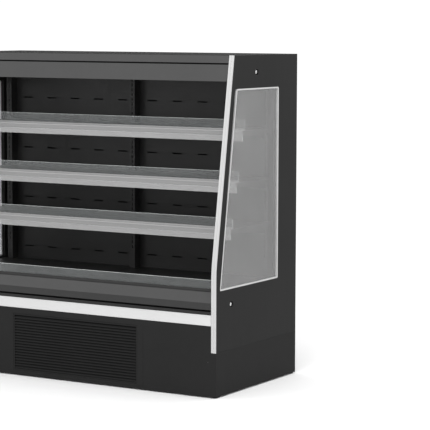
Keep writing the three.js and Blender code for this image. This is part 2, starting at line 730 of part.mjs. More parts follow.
// A channel open to the back, with a row of slots for the shelves' hooks.
function upright(x) {
  const half = UPRIGHT_WIDTH / 2;
  const outline = [
    [x - half, UPRIGHT_BACK],
    [x - half, UPRIGHT_FRONT],
    [x + half, UPRIGHT_FRONT],
    [x + half, UPRIGHT_BACK],
    [x + half - SHEET, UPRIGHT_BACK],
    [x + half - SHEET, UPRIGHT_FRONT + SHEET],
    [x - half + SHEET, UPRIGHT_FRONT + SHEET],
    [x - half + SHEET, UPRIGHT_BACK],
  ];
  const slots = [];
  for (let slot = LOWEST_SLOT; slot <= HIGHEST_SLOT; slot++) {
    const z = slotHeight(slot);
    slots.push(block(
      [x - SLOT_WIDTH / 2, x + SLOT_WIDTH / 2],
      [UPRIGHT_FRONT - CUT_PAST, UPRIGHT_FRONT + SHEET + CUT_PAST],
      [z - SLOT_HEIGHT / 2, z + SLOT_HEIGHT / 2],
    ));
  }
  return cut(upward(outline, [TUB_INSIDE + SEAT, SOFFIT_TOP - SHEET - SEAT]), ...slots);
}

// ---- Deck ---------------------------------------------------------------------------------

// One half of the deck: a folded pan, notched round the uprights.
function deckPan(side) {
  const near = DECK_PLAY / 2;
  const far = INNER_X - DECK_PLAY;
  const rear = DUCT_FRONT - DECK_PLAY;
  const foot = RIM_TOP + SEAT;
  const pan = block(onSide(side, near, far), [PAN_FRONT, rear], [foot, DECK_TOP]);
  const inside = block(
    onSide(side, near - CUT_PAST, far - SHEET),
    [PAN_FRONT + SHEET, rear - SHEET],
    [foot - CUT_PAST, DECK_TOP - SHEET],
  );
  const notches = Object.values(UPRIGHTS).map((x) => block(
    [x - UPRIGHT_WIDTH / 2 - DECK_PLAY, x + UPRIGHT_WIDTH / 2 + DECK_PLAY],
    [UPRIGHT_FRONT - DECK_PLAY, DEPTH],
    [foot - CUT_PAST, DECK_TOP + CUT_PAST],
  ));
  return cut(pan, inside, ...notches);
}

const CHANNEL_BACK = TUB_SETBACK + RETURN_CHANNEL_DEPTH;
const RISER_FRONT = TUB_SETBACK + (RETURN_CHANNEL_DEPTH - RISER_THICKNESS) / 2;
const RISER_FOOT = DECK_TOP + DECK_LIP - RISER_BITE;

// The slotted plate that the air returns through, with the channel that holds the riser.
function returnGrille() {
  const foot = RIM_TOP + SEAT;
  const channelTop = DECK_TOP + DECK_LIP;
  const channel = block([-END_X, END_X], [TUB_SETBACK, CHANNEL_BACK], [foot, channelTop]);
  const groove = block(
    [-END_X - CUT_PAST, END_X + CUT_PAST],
    [RISER_FRONT - SEAT, RISER_FRONT + RISER_THICKNESS + SEAT],
    [RISER_FOOT - SEAT, channelTop + CUT_PAST],
  );
  const plateTop = DECK_TOP - DECK_PLAY;
  const plateFront = CHANNEL_BACK - OVERLAP;
  const span = 2 * (END_X - TUB_END_WALL);
  const level = [plateTop - SHEET, plateTop];
  const holes = row(Math.floor(span / RETURN_SLOT_PITCH), 0, RETURN_SLOT_PITCH).map((x) => block(
    [x - RETURN_SLOT_WIDTH / 2, x + RETURN_SLOT_WIDTH / 2],
    [CHANNEL_BACK + RETURN_SLOT_MARGIN, GRILLE_BACK - RETURN_SLOT_MARGIN],
    past(level),
  ));
  const plateEnds = [OVERLAP - END_X, END_X - OVERLAP];
  const plate = cut(block(plateEnds, [plateFront, GRILLE_BACK], level), ...holes);
  const ends = [-1, 1].map((side) => block(
    onSide(side, END_X - TUB_END_WALL, END_X - TUB_END_WALL + SHEET),
    [CHANNEL_BACK + OVERLAP, GRILLE_BACK - OVERLAP],
    [foot, plateTop - SHEET + OVERLAP],
  ));
  return join(cut(channel, groove), plate, ...ends);
}

function deckRiser() {
  const rear = RISER_FRONT + RISER_THICKNESS;
  return block([-END_X + DECK_PLAY, END_X - DECK_PLAY], [RISER_FRONT, rear],
    [RISER_FOOT, DECK_TOP + RISER_HEIGHT]);
}

// ---- Shelves ------------------------------------------------------------------------------

const SHELF_END = INNER_X - SHELF_END_PLAY;
const TOP_SHELF_SLOT = Math.floor((CANOPY_FOOT - TOP_SHELF_CLEAR - slotHeight(0)) / SLOT_PITCH);
const LOWEST_SHELF_SLOT = LOWEST_SLOT + 2;

// Each shelf's front edge and its slot, which is level with the top of its ticket rail.
function shelfPlaces() {
  const below = [...SHELF_GAPS, 0];
  let slot = TOP_SHELF_SLOT - SHELF_GAPS.reduce((sum, gap) => sum + gap, 0);
  const places = SHELF_DEPTHS.map((depth, i) => {
    const place = { number: i + 1, front: UPRIGHT_FRONT - depth, slot, top: slotHeight(slot) };
    slot += below[i];
    return place;
  });
  return places.filter((place) => place.slot >= LOWEST_SHELF_SLOT);
}

// The front of a shelf plate is stepped down for the rail's hook and the stop.
const shelfLedge = ({ top }) => top - RAIL_WALL - SEAT;
const shelfStep = ({ front }) => front + RAIL_HOOK + STOP_THICKNESS + 2 * SEAT;

// Brackets with two hooks each, tied by a front and a rear bar.
function shelfSupport(shelf) {
  const top = shelf.top - SHEET - SEAT;
  const front = shelfStep(shelf) + SHEET + SEAT;
  const rear = UPRIGHT_FRONT - SEAT;
  const hookTip = UPRIGHT_FRONT + BRACKET_REACH;
  const foot = shelf.top - 2 * SLOT_PITCH - BRACKET_TAB / 2;
  const upper = shelf.top - SLOT_PITCH;
  const outline = [
    [front, top - BRACKET_NOSE],
    [rear, foot],
    [hookTip, foot],
    [hookTip, foot + BRACKET_TAB],
    [rear, foot + BRACKET_TAB],
    [rear, upper - BRACKET_TAB / 2],
    [hookTip, upper - BRACKET_TAB / 2],
    [hookTip, upper + BRACKET_TAB / 2],
    [rear, upper + BRACKET_TAB / 2],
    [rear, top - OVERLAP],
    [front, top - OVERLAP],
  ];
  const brackets = Object.values(UPRIGHTS).map((x) => (
    across(outline, [x - BRACKET_THICKNESS / 2, x + BRACKET_THICKNESS / 2])
  ));
  const bars = [front, rear - SHELF_BAR].map((back) => block(
    [UPRIGHTS.left, UPRIGHTS.right],
    [back + SHEET, back + SHELF_BAR - SHEET],
    [top - SHELF_BAR, top],
  ));
  return join(...brackets, ...bars);
}

function shelfPlate(shelf) {
  const { top } = shelf;
  const front = shelf.front + RAIL_WALL + SEAT;
  const rear = UPRIGHT_FRONT - SHELF_REAR_PLAY;
  const profile = (sheet, past) => {
    const foot = top - SHELF_FLANGE - past;
    const ledge = shelfLedge(shelf) - sheet;
    const step = shelfStep(shelf) + sheet;
    return [
      [front + sheet, foot],
      [front + sheet, ledge],
      [step, ledge],
      [step, top - sheet],
      [rear + past, top - sheet],
      [rear + past, foot],
    ];
  };
  const folded = across(profile(0, 0), [-SHELF_END, SHELF_END]);
  const inside = across(profile(SHEET, CUT_PAST), [SHEET - SHELF_END, SHELF_END - SHEET]);
  const upstand = block(
    [OVERLAP - SHELF_END, SHELF_END - OVERLAP],
    [rear - OVERLAP - SHEET, rear - OVERLAP],
    [top - OVERLAP, top + SHELF_UPSTAND],
  );
  return join(cut(folded, inside), upstand);
}

// The ticket rail hangs from the shelf's front edge by a hook, which ends in a clip.
function priceRail(shelf) {
  const { front, top } = shelf;
  const foot = top - RAIL_HEIGHT;
  const rib = top - RAIL_UPPER;
  const outline = [
    [front, top],
    [front, rib + RAIL_RIB],
    [front - RAIL_RIB, rib + RAIL_RIB],
    [front - RAIL_RIB, rib],
    [front, rib],
    [front, foot],
    [front + RAIL_WALL, foot],
    [front + RAIL_WALL, top - RAIL_WALL],
    [front + RAIL_HOOK, top - RAIL_WALL],
    [front + RAIL_HOOK, top + RAIL_CLIP],
    [front + RAIL_HOOK - RAIL_WALL, top + RAIL_CLIP],
    [front + RAIL_HOOK - RAIL_WALL, top],
  ];
  return across(outline, [-SHELF_END, SHELF_END]);
}

function shelfStop(shelf) {
  const front = shelf.front + RAIL_HOOK + SEAT;
  const foot = shelfLedge(shelf) + SEAT;
  return block([-SHELF_END, SHELF_END], [front, front + STOP_THICKNESS], [foot, foot + STOP_HEIGHT]);
}

// ---- Plinth -------------------------------------------------------------------------------

// A sheet that is full width under the end panels and fits between them above.
function plinthOutline(top) {
  return [
    [-OUTER_X, PLINTH_CLEARANCE],
    [OUTER_X, PLINTH_CLEARANCE],
    [OUTER_X, END_SEAM - SEAT],
    [END_X, END_SEAM - SEAT],
    [END_X, top],
    [-END_X, top],
    [-END_X, END_SEAM - SEAT],
    [-OUTER_X, END_SEAM - SEAT],
  ];
}

const GRILLE = {
  left: GRILLE_OFFSET - GRILLE_WIDTH / 2,
  right: GRILLE_OFFSET + GRILLE_WIDTH / 2,
  foot: PLINTH_CLEARANCE + GRILLE_FOOT_MARGIN,
  head: PLINTH_TOP - GRILLE_HEAD_MARGIN,
};

const POCKET = {
  left: POCKET_INSET - INNER_X,
  right: POCKET_INSET - INNER_X + POCKET_WIDTH,
  foot: PLINTH_TOP - POCKET_DROP - POCKET_HEIGHT,
  head: PLINTH_TOP - POCKET_DROP,
};

function plinthFront() {
  const depth = [0, SHEET];
  const holes = [GRILLE, POCKET].map(({ left, right, foot, head }) => (
    block([left, right], past(depth), [foot, head])
  ));
  const sheet = cut(backward(plinthOutline(PLINTH_TOP), depth), ...holes);
  const foldTop = PLINTH_TOP - OVERLAP;
  const fold = block([OVERLAP - END_X, END_X - OVERLAP], [OVERLAP, TUB_FACE], [foldTop - SHEET, foldTop]);
  return join(sheet, fold);
}

function plinthSide(side) {
  return block(onSide(side, OUTER_X - SHEET, OUTER_X), [SHEET + SEAT, DEPTH - SHEET - SEAT],
    [PLINTH_CLEARANCE, END_SEAM - SEAT]);
}

function plinthRear() {
  const centre = (PLINTH_CLEARANCE + END_SEAM) / 2;
  const depth = [DEPTH - SHEET, DEPTH];
  const count = Math.floor(GRILLE_WIDTH / REAR_VENT_PITCH);
  const holes = row(count, GRILLE_OFFSET, REAR_VENT_PITCH).map((x) => block(
    [x - REAR_VENT_WIDTH / 2, x + REAR_VENT_WIDTH / 2],
    past(depth),
    [centre - REAR_VENT_HEIGHT / 2, centre + REAR_VENT_HEIGHT / 2],
  ));
  const { xs, zs, shell, inside, gland, bore } = cordEntry();
  const mouth = block(xs, past(depth), zs);
  const panel = cut(backward(plinthOutline(TUB_FOOT - SEAT), depth), mouth, ...holes);
  return cut(join(panel, cut(shell, inside), gland), bore);
}

// A pocket in the rear panel with the gland that the supply cord goes through.
function cordEntry() {
  const x = CORD_POCKET_MARGIN - OUTER_X;
  const z = (PLINTH_CLEARANCE + END_SEAM) / 2;
  const xs = [x - CORD_POCKET_WIDTH / 2, x + CORD_POCKET_WIDTH / 2];
  const zs = [z - CORD_POCKET_HEIGHT / 2, z + CORD_POCKET_HEIGHT / 2];
  const floor = DEPTH - CORD_POCKET_DEPTH;
  const wider = ([low, high]) => [low - SHEET, high + SHEET];
  const shell = block(wider(xs), [floor - SHEET, DEPTH - SHEET / 2], wider(zs));
  const inside = block(xs, [floor, DEPTH + CUT_PAST], zs);
  const nut = barBackward(x, z, [floor - OVERLAP, floor + GLAND_NUT], GLAND_RADIUS, NUT_SIDES);
  const cap = barBackward(x, z, [floor, floor + GLAND_LENGTH], GLAND_CAP_RADIUS);
  const bore = barBackward(x, z, [floor - SHEET - CUT_PAST, DEPTH], CORD_RADIUS + SEAT, PIN_SIDES);
  return { xs, zs, shell, inside, gland: join(nut, cap), bore };
}

// A frame with louvres that slope down to the front.
function plinthGrille() {
  const left = GRILLE.left + SEAT;
  const right = GRILLE.right - SEAT;
  const foot = GRILLE.foot + SEAT;
  const head = GRILLE.head - SEAT;
  const depth = [0, GRILLE_DEPTH];
  const inner = block(
    [left + GRILLE_FRAME, right - GRILLE_FRAME],
    past(depth),
    [foot + GRILLE_FRAME, head - GRILLE_FRAME],
  );
  const frame = cut(block([left, right], depth, [foot, head]), inner);
  const open = head - foot - 2 * GRILLE_FRAME;
  const count = Math.floor(open / LOUVRE_PITCH);
  const span = [left + GRILLE_FRAME - OVERLAP, right - GRILLE_FRAME + OVERLAP];
  const louvres = row(count, (head + foot) / 2, LOUVRE_PITCH).map((middle) => {
    const half = LOUVRE_THICKNESS / 2;
    return across([
      [OVERLAP, middle - LOUVRE_RISE / 2 - half],
      [GRILLE_DEPTH - OVERLAP, middle + LOUVRE_RISE / 2 - half],
      [GRILLE_DEPTH - OVERLAP, middle + LOUVRE_RISE / 2 + half],
      [OVERLAP, middle - LOUVRE_RISE / 2 + half],
    ], span);
  });
  return join(frame, ...louvres);
}

// ---- Chassis and feet ---------------------------------------------------------------------

const FOOT_X = FRAME_END - FRAME_TUBE / 2;
const FOOT_BACKS = {
  front: RAIL_SETBACK + FRAME_TUBE / 2,
  rear: FRAME_BACK - FRAME_TUBE / 2,
};

// A rectangle of tubes with corner posts under the tub and a tray for the condensing unit.
function chassisFrame() {
  const level = [FRAME_FOOT, FRAME_TOP];
  const postLevel = [FRAME_TOP - OVERLAP, TUB_FOOT - SEAT];
  const frontPost = [POCKET_DEPTH + POST_BEHIND, POCKET_DEPTH + POST_BEHIND + FRAME_TUBE];
  const frontRail = [RAIL_SETBACK, RAIL_SETBACK + FRAME_TUBE];
  const rearRail = [FRAME_BACK - FRAME_TUBE, FRAME_BACK];
  const trayHalf = CONDENSER_WIDTH / 2 + FRAME_TUBE;
  const trayX = [GRILLE_OFFSET - trayHalf, GRILLE_OFFSET + trayHalf];
  const outside = block([-FRAME_END, FRAME_END], [RAIL_SETBACK, FRAME_BACK], level);
  const bayDepth = [frontRail[1], rearRail[0]];
  const bays = [
    block([FRAME_TUBE - FRAME_END, trayX[0]], bayDepth, past(level)),
    block([trayX[0] + FRAME_TUBE, trayX[1] - FRAME_TUBE], bayDepth, past(level)),
    block([trayX[1], FRAME_END - FRAME_TUBE], bayDepth, past(level)),
  ];
  const posts = [-1, 1].flatMap((side) => [frontPost, rearRail].map((depth) => (
    block(onSide(side, END_X - FRAME_TUBE, END_X), depth, postLevel)
  )));
  const tray = block([trayX[0] + OVERLAP, trayX[1] - OVERLAP],
    [frontRail[0] + OVERLAP, rearRail[1] - OVERLAP], [FRAME_TOP - OVERLAP, TRAY_TOP]);
  const holes = [-1, 1].flatMap((side) => Object.values(FOOT_BACKS).map((back) => {
    const hole = new THREE.CylinderGeometry(FOOT_STEM_RADIUS + SEAT, FOOT_STEM_RADIUS + SEAT,
      FRAME_TUBE + 2 * CUT_PAST, ROUND_SIDES).rotateX(Math.PI / 2);
    return solidOf(hole.translate(side * FOOT_X, FRONT_Y + back, FRAME_FOOT + FRAME_TUBE / 2));
  }));
  return cut(join(cut(outside, ...bays), ...posts, tray), ...holes);
}

// A pad on a threaded stem, with the nut that it is turned by just under the frame.
function levellingFoot(side, back) {
  const nutTop = FRAME_FOOT - SEAT;
  const pad = solidOf(turned([
    [0, 0],
    [FOOT_PAD_RADIUS, 0],
    [FOOT_PAD_RADIUS, FOOT_PAD_EDGE],
    [FOOT_PAD_COLLAR, FOOT_PAD_HEIGHT],
    [0, FOOT_PAD_HEIGHT],
  ]));
  const stem = solidOf(turned([
    [0, FOOT_PAD_HEIGHT - OVERLAP],
    [FOOT_STEM_RADIUS, FOOT_PAD_HEIGHT - OVERLAP],
    [FOOT_STEM_RADIUS, FRAME_FOOT + FOOT_STEM_GRIP],
    [0, FRAME_FOOT + FOOT_STEM_GRIP],
  ]));
  const nut = solidOf(turned([
    [0, nutTop - FOOT_NUT_HEIGHT],
    [FOOT_NUT_RADIUS, nutTop - FOOT_NUT_HEIGHT],
    [FOOT_NUT_RADIUS, nutTop],
    [0, nutTop],
  ], NUT_SIDES));
  return join(pad, stem, nut).translate([side * FOOT_X, FRONT_Y + back, 0]);
}

// ---- Fans and coils -----------------------------------------------------------------------

// A hub with twisted blades, turning about Y, with a bore for the motor's shaft.
function fan(x, height, [back0, back1], radius, hubRadius, chord) {
  const hub = barBackward(x, height, [back0, back1], hubRadius);
  const length = radius - hubRadius + OVERLAP;
  const blades = Array.from({ length: BLADE_COUNT }, (_, i) => {
    const blade = new THREE.BoxGeometry(BLADE_THICKNESS, chord, length);
    blade.rotateZ(Math.PI / 2 - BLADE_PITCH).translate(0, 0, radius - length / 2);
    blade.rotateY((i * 2 * Math.PI) / BLADE_COUNT);
    return solidOf(blade.translate(x, FRONT_Y + (back0 + back1) / 2, height));
  });
  const bore = barBackward(x, height, [back0 - CUT_PAST, back1 + CUT_PAST], SHAFT_RADIUS + SEAT);
  return cut(join(hub, ...blades), bore);
}

// A motor with its shaft to the front, held by arms that reach out to a ring.
function motor(x, height, hubFront, armBack, radius, length, ringRadius) {
  const can = barBackward(x, height, [armBack - OVERLAP, armBack + length], radius);
  const shaft = barBackward(x, height, [hubFront, armBack + OVERLAP], SHAFT_RADIUS, PIN_SIDES);
  const reach = ringRadius - radius + 2 * OVERLAP;
  const arms = Array.from({ length: MOTOR_ARMS }, (_, i) => {
    const arm = new THREE.BoxGeometry(MOTOR_ARM_WIDTH, SHEET + OVERLAP, reach);
    arm.translate(0, 0, (ringRadius + radius) / 2).rotateY((i * 2 * Math.PI) / MOTOR_ARMS);
    return solidOf(arm.translate(x, FRONT_Y + armBack + (SHEET - OVERLAP) / 2, height));
  });
  return join(can, shaft, ...arms);
}

// A coil block: a rim with fins across it.
function finnedBlock([x0, x1], [back0, back1], [z0, z1], pitch, rim) {
  const count = Math.floor((x1 - x0 - 2 * rim) / pitch);
  const half = (pitch - FIN_THICKNESS) / 2;
  const gaps = row(count, (x0 + x1) / 2, pitch).map((x) => (
    block([x - half, x + half], past([back0, back1]), [z0 + rim, z1 - rim])
  ));
  return cut(block([x0, x1], [back0, back1], [z0, z1]), ...gaps);
}

const CONDENSER_X = [GRILLE_OFFSET - CONDENSER_WIDTH / 2, GRILLE_OFFSET + CONDENSER_WIDTH / 2];
const CONDENSER_Z = [TRAY_TOP + SEAT, TRAY_TOP + SEAT + CONDENSER_HEIGHT];
const CONDENSER_FAN_HEIGHT = (CONDENSER_Z[0] + CONDENSER_Z[1]) / 2;

function condenserCoil() {
  return finnedBlock(CONDENSER_X, [CONDENSER_FRONT, CONDENSER_FRONT + CONDENSER_DEPTH], CONDENSER_Z,
    FIN_PITCH, CONDENSER_RIM);
}

// A box behind the coil with a round hole for the fan, which carries the fan's motor.
function condenserShroud() {
  const shell = block(CONDENSER_X, [SHROUD_FRONT, SHROUD_BACK], CONDENSER_Z);
  const inside = block(
    [CONDENSER_X[0] + SHEET, CONDENSER_X[1] - SHEET],
    [SHROUD_FRONT - CUT_PAST, SHROUD_BACK - SHEET],
    [CONDENSER_Z[0] + SHEET, CONDENSER_Z[1] - SHEET],
  );
  const holeRadius = CONDENSER_FAN_RADIUS + TIP_GAP;
  const through = [SHROUD_FRONT, SHROUD_BACK + CUT_PAST];
  const hole = barBackward(GRILLE_OFFSET, CONDENSER_FAN_HEIGHT, through, holeRadius, RING_SIDES);
  const drive = motor(GRILLE_OFFSET, CONDENSER_FAN_HEIGHT, condenserFanBacks()[0], SHROUD_BACK,
    CONDENSER_MOTOR_RADIUS, CONDENSER_MOTOR_LENGTH, holeRadius);
  return join(cut(shell, inside, hole), drive);
}

function condenserFanBacks() {
  const depth = CONDENSER_CHORD * Math.sin(BLADE_PITCH) + BLADE_THICKNESS;
  return [SHROUD_BACK - MOTOR_STANDOFF - depth, SHROUD_BACK - MOTOR_STANDOFF];
}

// A welded steel pot on a base plate, with suction and discharge stubs and a terminal box.
function compressor() {
  const x = GRILLE_OFFSET + COMPRESSOR_SIDE;
  const back = SHROUD_BACK + CONDENSER_MOTOR_LENGTH + COMPRESSOR_GAP;
  const base = TRAY_TOP + SEAT;
  const half = COMPRESSOR_BASE / 2;
  const foot = block([x - half, x + half], [back - half, back + half], [base, base + COMPRESSOR_PLATE]);
  const low = base + COMPRESSOR_PLATE - OVERLAP;
  const wall = COMPRESSOR_POT.map(([out, up]) => [out * COMPRESSOR_RADIUS, low + up * COMPRESSOR_HEIGHT]);
  const pot = turned([[0, low], ...wall, [0, low + COMPRESSOR_HEIGHT]]).translate(x, FRONT_Y + back, 0);
  const middle = low + COMPRESSOR_HEIGHT / 2;
  const stubEnds = [x - COMPRESSOR_RADIUS - STUB_REACH, x - COMPRESSOR_RADIUS / 2];
  const stub = barAcross(back, middle, stubEnds, STUB_RADIUS, PIN_SIDES);
  const terminals = block(
    [x + COMPRESSOR_RADIUS / 2, x + COMPRESSOR_RADIUS + TERMINALS_REACH],
    [back - TERMINALS_WIDTH / 2, back + TERMINALS_WIDTH / 2],
    [middle - TERMINALS_HEIGHT / 2, middle + TERMINALS_HEIGHT / 2],
  );
  return join(foot, solidOf(pot), stub, terminals);
}

const FAN_XS = { left: -FAN_SPACING / 2, right: FAN_SPACING / 2 };
const EVAPORATOR_FAN_BACK = FAN_PLATE_BACK - MOTOR_STANDOFF;
const EVAPORATOR_FAN_DEPTH = FAN_CHORD * Math.sin(BLADE_PITCH) + BLADE_THICKNESS;
const EVAPORATOR_FAN_BACKS = [EVAPORATOR_FAN_BACK - EVAPORATOR_FAN_DEPTH, EVAPORATOR_FAN_BACK];

// The plate across the tub that holds both fans, with the beam that carries the deck's middle.
function evaporatorFanPlate() {
  const end = END_X - TUB_END_WALL - SEAT;
  const front = FAN_PLATE_BACK - SHEET;
  const outer = FAN_RADIUS + TIP_GAP + SHEET;
  const plateTop = FAN_PLATE_TOP - OVERLAP;
  const plate = block([-end, end], [front, FAN_PLATE_BACK], [TUB_INSIDE + SEAT, plateTop]);
  const beam = block(
    [-DECK_BEAM_WIDTH / 2, DECK_BEAM_WIDTH / 2],
    [PAN_FRONT + SHEET + DECK_PLAY, UPRIGHT_FRONT - SEAT],
    [FAN_PLATE_TOP - DECK_BEAM_HEIGHT, FAN_PLATE_TOP],
  );
  const rings = Object.values(FAN_XS).map((x) => (
    barBackward(x, FAN_HEIGHT, [FAN_PLATE_BACK - FAN_RING, FAN_PLATE_BACK - OVERLAP], outer)
  ));
  const holes = Object.values(FAN_XS).map((x) => (
    barBackward(x, FAN_HEIGHT, [FAN_PLATE_BACK - FAN_RING - CUT_PAST, FAN_PLATE_BACK + CUT_PAST],
      FAN_RADIUS + TIP_GAP)
  ));
  const motors = Object.values(FAN_XS).map((x) => (
    motor(x, FAN_HEIGHT, EVAPORATOR_FAN_BACKS[0], FAN_PLATE_BACK, FAN_MOTOR_RADIUS,
      FAN_MOTOR_LENGTH, FAN_RADIUS + TIP_GAP)
  ));
  return join(cut(join(plate, beam, ...rings), ...holes), ...motors);
}

function evaporatorCoil() {
  const end = END_X - TUB_END_WALL - EVAPORATOR_END_PLAY;
  const base = TUB_INSIDE + EVAPORATOR_FOOT;
  const head = FAN_PLATE_TOP - DECK_BEAM_HEIGHT - SEAT;
  const depth = [EVAPORATOR_FRONT, EVAPORATOR_FRONT + EVAPORATOR_DEPTH];
  const coil = finnedBlock([-end, end], depth, [base, head], EVAPORATOR_FIN_PITCH, CONDENSER_RIM);
  const feet = [-1, 1].map((side) => (
    block(onSide(side, end - CONDENSER_RIM, end - OVERLAP), [depth[0] + OVERLAP, depth[1] - OVERLAP],
      [TUB_INSIDE + SEAT, base + OVERLAP])
  ));
  return join(coil, ...feet);
}

// ---- Controller and switch ----------------------------------------------------------------

const SWITCH_X = POCKET.right - POCKET_WALL - DISPLAY_MARGIN - SWITCH_BEZEL - SWITCH_WIDTH / 2;
const POCKET_MIDDLE = (POCKET.foot + POCKET.head) / 2;
const POCKET_FLOOR = POCKET_DEPTH - POCKET_WALL;
const SWITCH_BACK = POCKET_FLOOR - SWITCH_DEPTH / 2; // the rocker's pivot

// The pocket behind the plinth panel, with the raised display and the switch's bezel.
function controllerPocket() {
  const x0 = POCKET.left + SEAT;
  const x1 = POCKET.right - SEAT;
  const z0 = POCKET.foot + SEAT;
  const z1 = POCKET.head - SEAT;
  const shell = block([x0, x1], [OVERLAP, POCKET_DEPTH], [z0, z1]);
  const inside = block(
    [x0 + POCKET_WALL, x1 - POCKET_WALL],
    [-CUT_PAST, POCKET_FLOOR],
    [z0 + POCKET_WALL, z1 - POCKET_WALL],
  );
  const displayLeft = x0 + POCKET_WALL + DISPLAY_MARGIN / 2;
  const display = block(
    [displayLeft, displayLeft + DISPLAY_WIDTH],
    [POCKET_FLOOR - DISPLAY_DEPTH, POCKET_FLOOR + OVERLAP],
    [POCKET_MIDDLE - DISPLAY_HEIGHT / 2, POCKET_MIDDLE + DISPLAY_HEIGHT / 2],
  );
  const halfWidth = SWITCH_WIDTH / 2 + SEAT;
  const halfHeight = SWITCH_HEIGHT / 2 + SWITCH_PLAY;
  const bezel = block(
    [SWITCH_X - halfWidth - SWITCH_BEZEL, SWITCH_X + halfWidth + SWITCH_BEZEL],
    [POCKET_FLOOR - SWITCH_DEPTH, POCKET_DEPTH],
    [POCKET_MIDDLE - halfHeight - SWITCH_BEZEL, POCKET_MIDDLE + halfHeight + SWITCH_BEZEL],
  );
  const well = block(
    [SWITCH_X - halfWidth, SWITCH_X + halfWidth],
    [-CUT_PAST, POCKET_FLOOR + OVERLAP],
    [POCKET_MIDDLE - halfHeight, POCKET_MIDDLE + halfHeight],
  );
  const pinHole = barAcross(SWITCH_BACK, POCKET_MIDDLE,
    [SWITCH_X - halfWidth - SWITCH_PIN_LENGTH, SWITCH_X + halfWidth + SWITCH_PIN_LENGTH],
    SWITCH_PIN_RADIUS + SEAT, PIN_SIDES);
  return cut(join(cut(shell, inside), display, bezel), well, pinHole);
}

// A rocker on two pins, thrown with its lower half pressed.
function powerSwitch() {
  const half = SWITCH_HEIGHT / 2;
  const section = [
    [-SWITCH_FACE, -half],
    [SWITCH_ROOT, SWITCH_TAPER - half],
    [SWITCH_ROOT, half - SWITCH_TAPER],
    [-SWITCH_FACE, half],
    [SWITCH_DISH - SWITCH_FACE, 0],
  ];
  const cosine = Math.cos(SWITCH_THROW);
  const sine = Math.sin(SWITCH_THROW);
  const thrown = section.map(([back, up]) => [
    SWITCH_BACK + back * cosine - up * sine,
    POCKET_MIDDLE + back * sine + up * cosine,
  ]);
  const width = [SWITCH_X - SWITCH_WIDTH / 2, SWITCH_X + SWITCH_WIDTH / 2];
  const pins = barAcross(SWITCH_BACK, POCKET_MIDDLE,
    [width[0] - SWITCH_PIN_LENGTH, width[1] + SWITCH_PIN_LENGTH], SWITCH_PIN_RADIUS, PIN_SIDES);
  return join(across(thrown, width), pins);
}

// ---- Assembly -----------------------------------------------------------------------------

const BLACK = 0x343434;
const PLINTH_BLACK = 0x2b2b2b;
const GREY_FACE = 0x5d5d5d;
const INSIDE_BLACK = 0x262626;
const PALE = 0xe3e3e1;
const GALVANISED = 0x9da0a2;

add('chassis_frame', chassisFrame(), 0x3a3b3d, 0.6, 0.5);
for (const [end, back] of Object.entries(FOOT_BACKS)) {
  add(`levelling_foot_${end}_left`, levellingFoot(-1, back), 0x2a2a2a, 0.7, 0.1);
  add(`levelling_foot_${end}_right`, levellingFoot(1, back), 0x2a2a2a, 0.7, 0.1);
}
add('plinth_front_panel', plinthFront(), PLINTH_BLACK);
add('plinth_grille', plinthGrille(), 0x232323);
add('plinth_rear_panel', plinthRear(), PLINTH_BLACK);
add('insulated_body', insulatedBody(), 0x2e2e2e, 0.6, 0.1);
add('roof_cover', roofCover(), GREY_FACE);
add('canopy_fascia', canopyFascia(), GREY_FACE);
add('air_outlet_honeycomb', airOutlet(), 0x55585a, 0.6, 0);
add('light_bar', lightBar(), 0xd8dadb, 0.3, 0);
add('duct_panel', ductPanel(), INSIDE_BLACK);
add('nose_profile', noseProfile(), GREY_FACE);
add('bumper_carrier', bumperCarrier(), INSIDE_BLACK, 0.6, 0);
add('bumper_rail', bumperRail(), PALE, 0.35, 0.1);
add('return_air_grille', returnGrille(), INSIDE_BLACK);
add('deck_riser', deckRiser(), 0xe8f0f0, 0.05, 0, 0.25);
add('evaporator_fan_plate', evaporatorFanPlate(), GALVANISED, 0.5, 0.7);
add('evaporator_coil', evaporatorCoil(), 0xb4b8ba, 0.4, 0.8);
add('condenser_coil', condenserCoil(), 0x3c3f41, 0.5, 0.6);
add('condenser_fan_shroud', condenserShroud(), GALVANISED, 0.5, 0.7);
add('condenser_fan', fan(GRILLE_OFFSET, CONDENSER_FAN_HEIGHT, condenserFanBacks(),
  CONDENSER_FAN_RADIUS, CONDENSER_HUB_RADIUS, CONDENSER_CHORD), 0x1d1d1d, 0.5, 0);
add('compressor', compressor(), 0x18191a, 0.4, 0.4);
add('controller', controllerPocket(), 0x1c1c1c, 0.5, 0);
add('power_switch', powerSwitch(), 0xf2f2ee, 0.3, 0);

for (const [name, side] of [['left', -1], ['right', 1]]) {
  add(`end_panel_${name}`, endPanel(side), BLACK, 0.55, 0.1);
  add(`edge_trim_${name}`, edgeTrim(side), 0xe6e6e6, 0.3, 0.5);
  add(`window_seal_${name}`, windowSeal(side), 0xb2b2b2, 0.6, 0);
  add(`window_glass_${name}`, windowGlass(side), 0xcfd6d6, 0.05, 0, 0.3);
  for (const [level, bolt] of Object.entries(BOLTS)) {
    add(`end_bolt_${name}_${level}`, endBolt(side, bolt), 0xd6d6d6, 0.2, 0.9);
  }
  add(`plinth_side_${name}`, plinthSide(side), PLINTH_BLACK);
  add(`deck_pan_${name}`, deckPan(side), INSIDE_BLACK, 0.45, 0.3);
  add(`evaporator_fan_${name}`, fan(FAN_XS[name], FAN_HEIGHT, EVAPORATOR_FAN_BACKS, FAN_RADIUS,
    FAN_HUB_RADIUS, FAN_CHORD), 0x202020, 0.5, 0);
}
for (const [name, x] of Object.entries(UPRIGHTS)) add(`upright_${name}`, upright(x), INSIDE_BLACK);
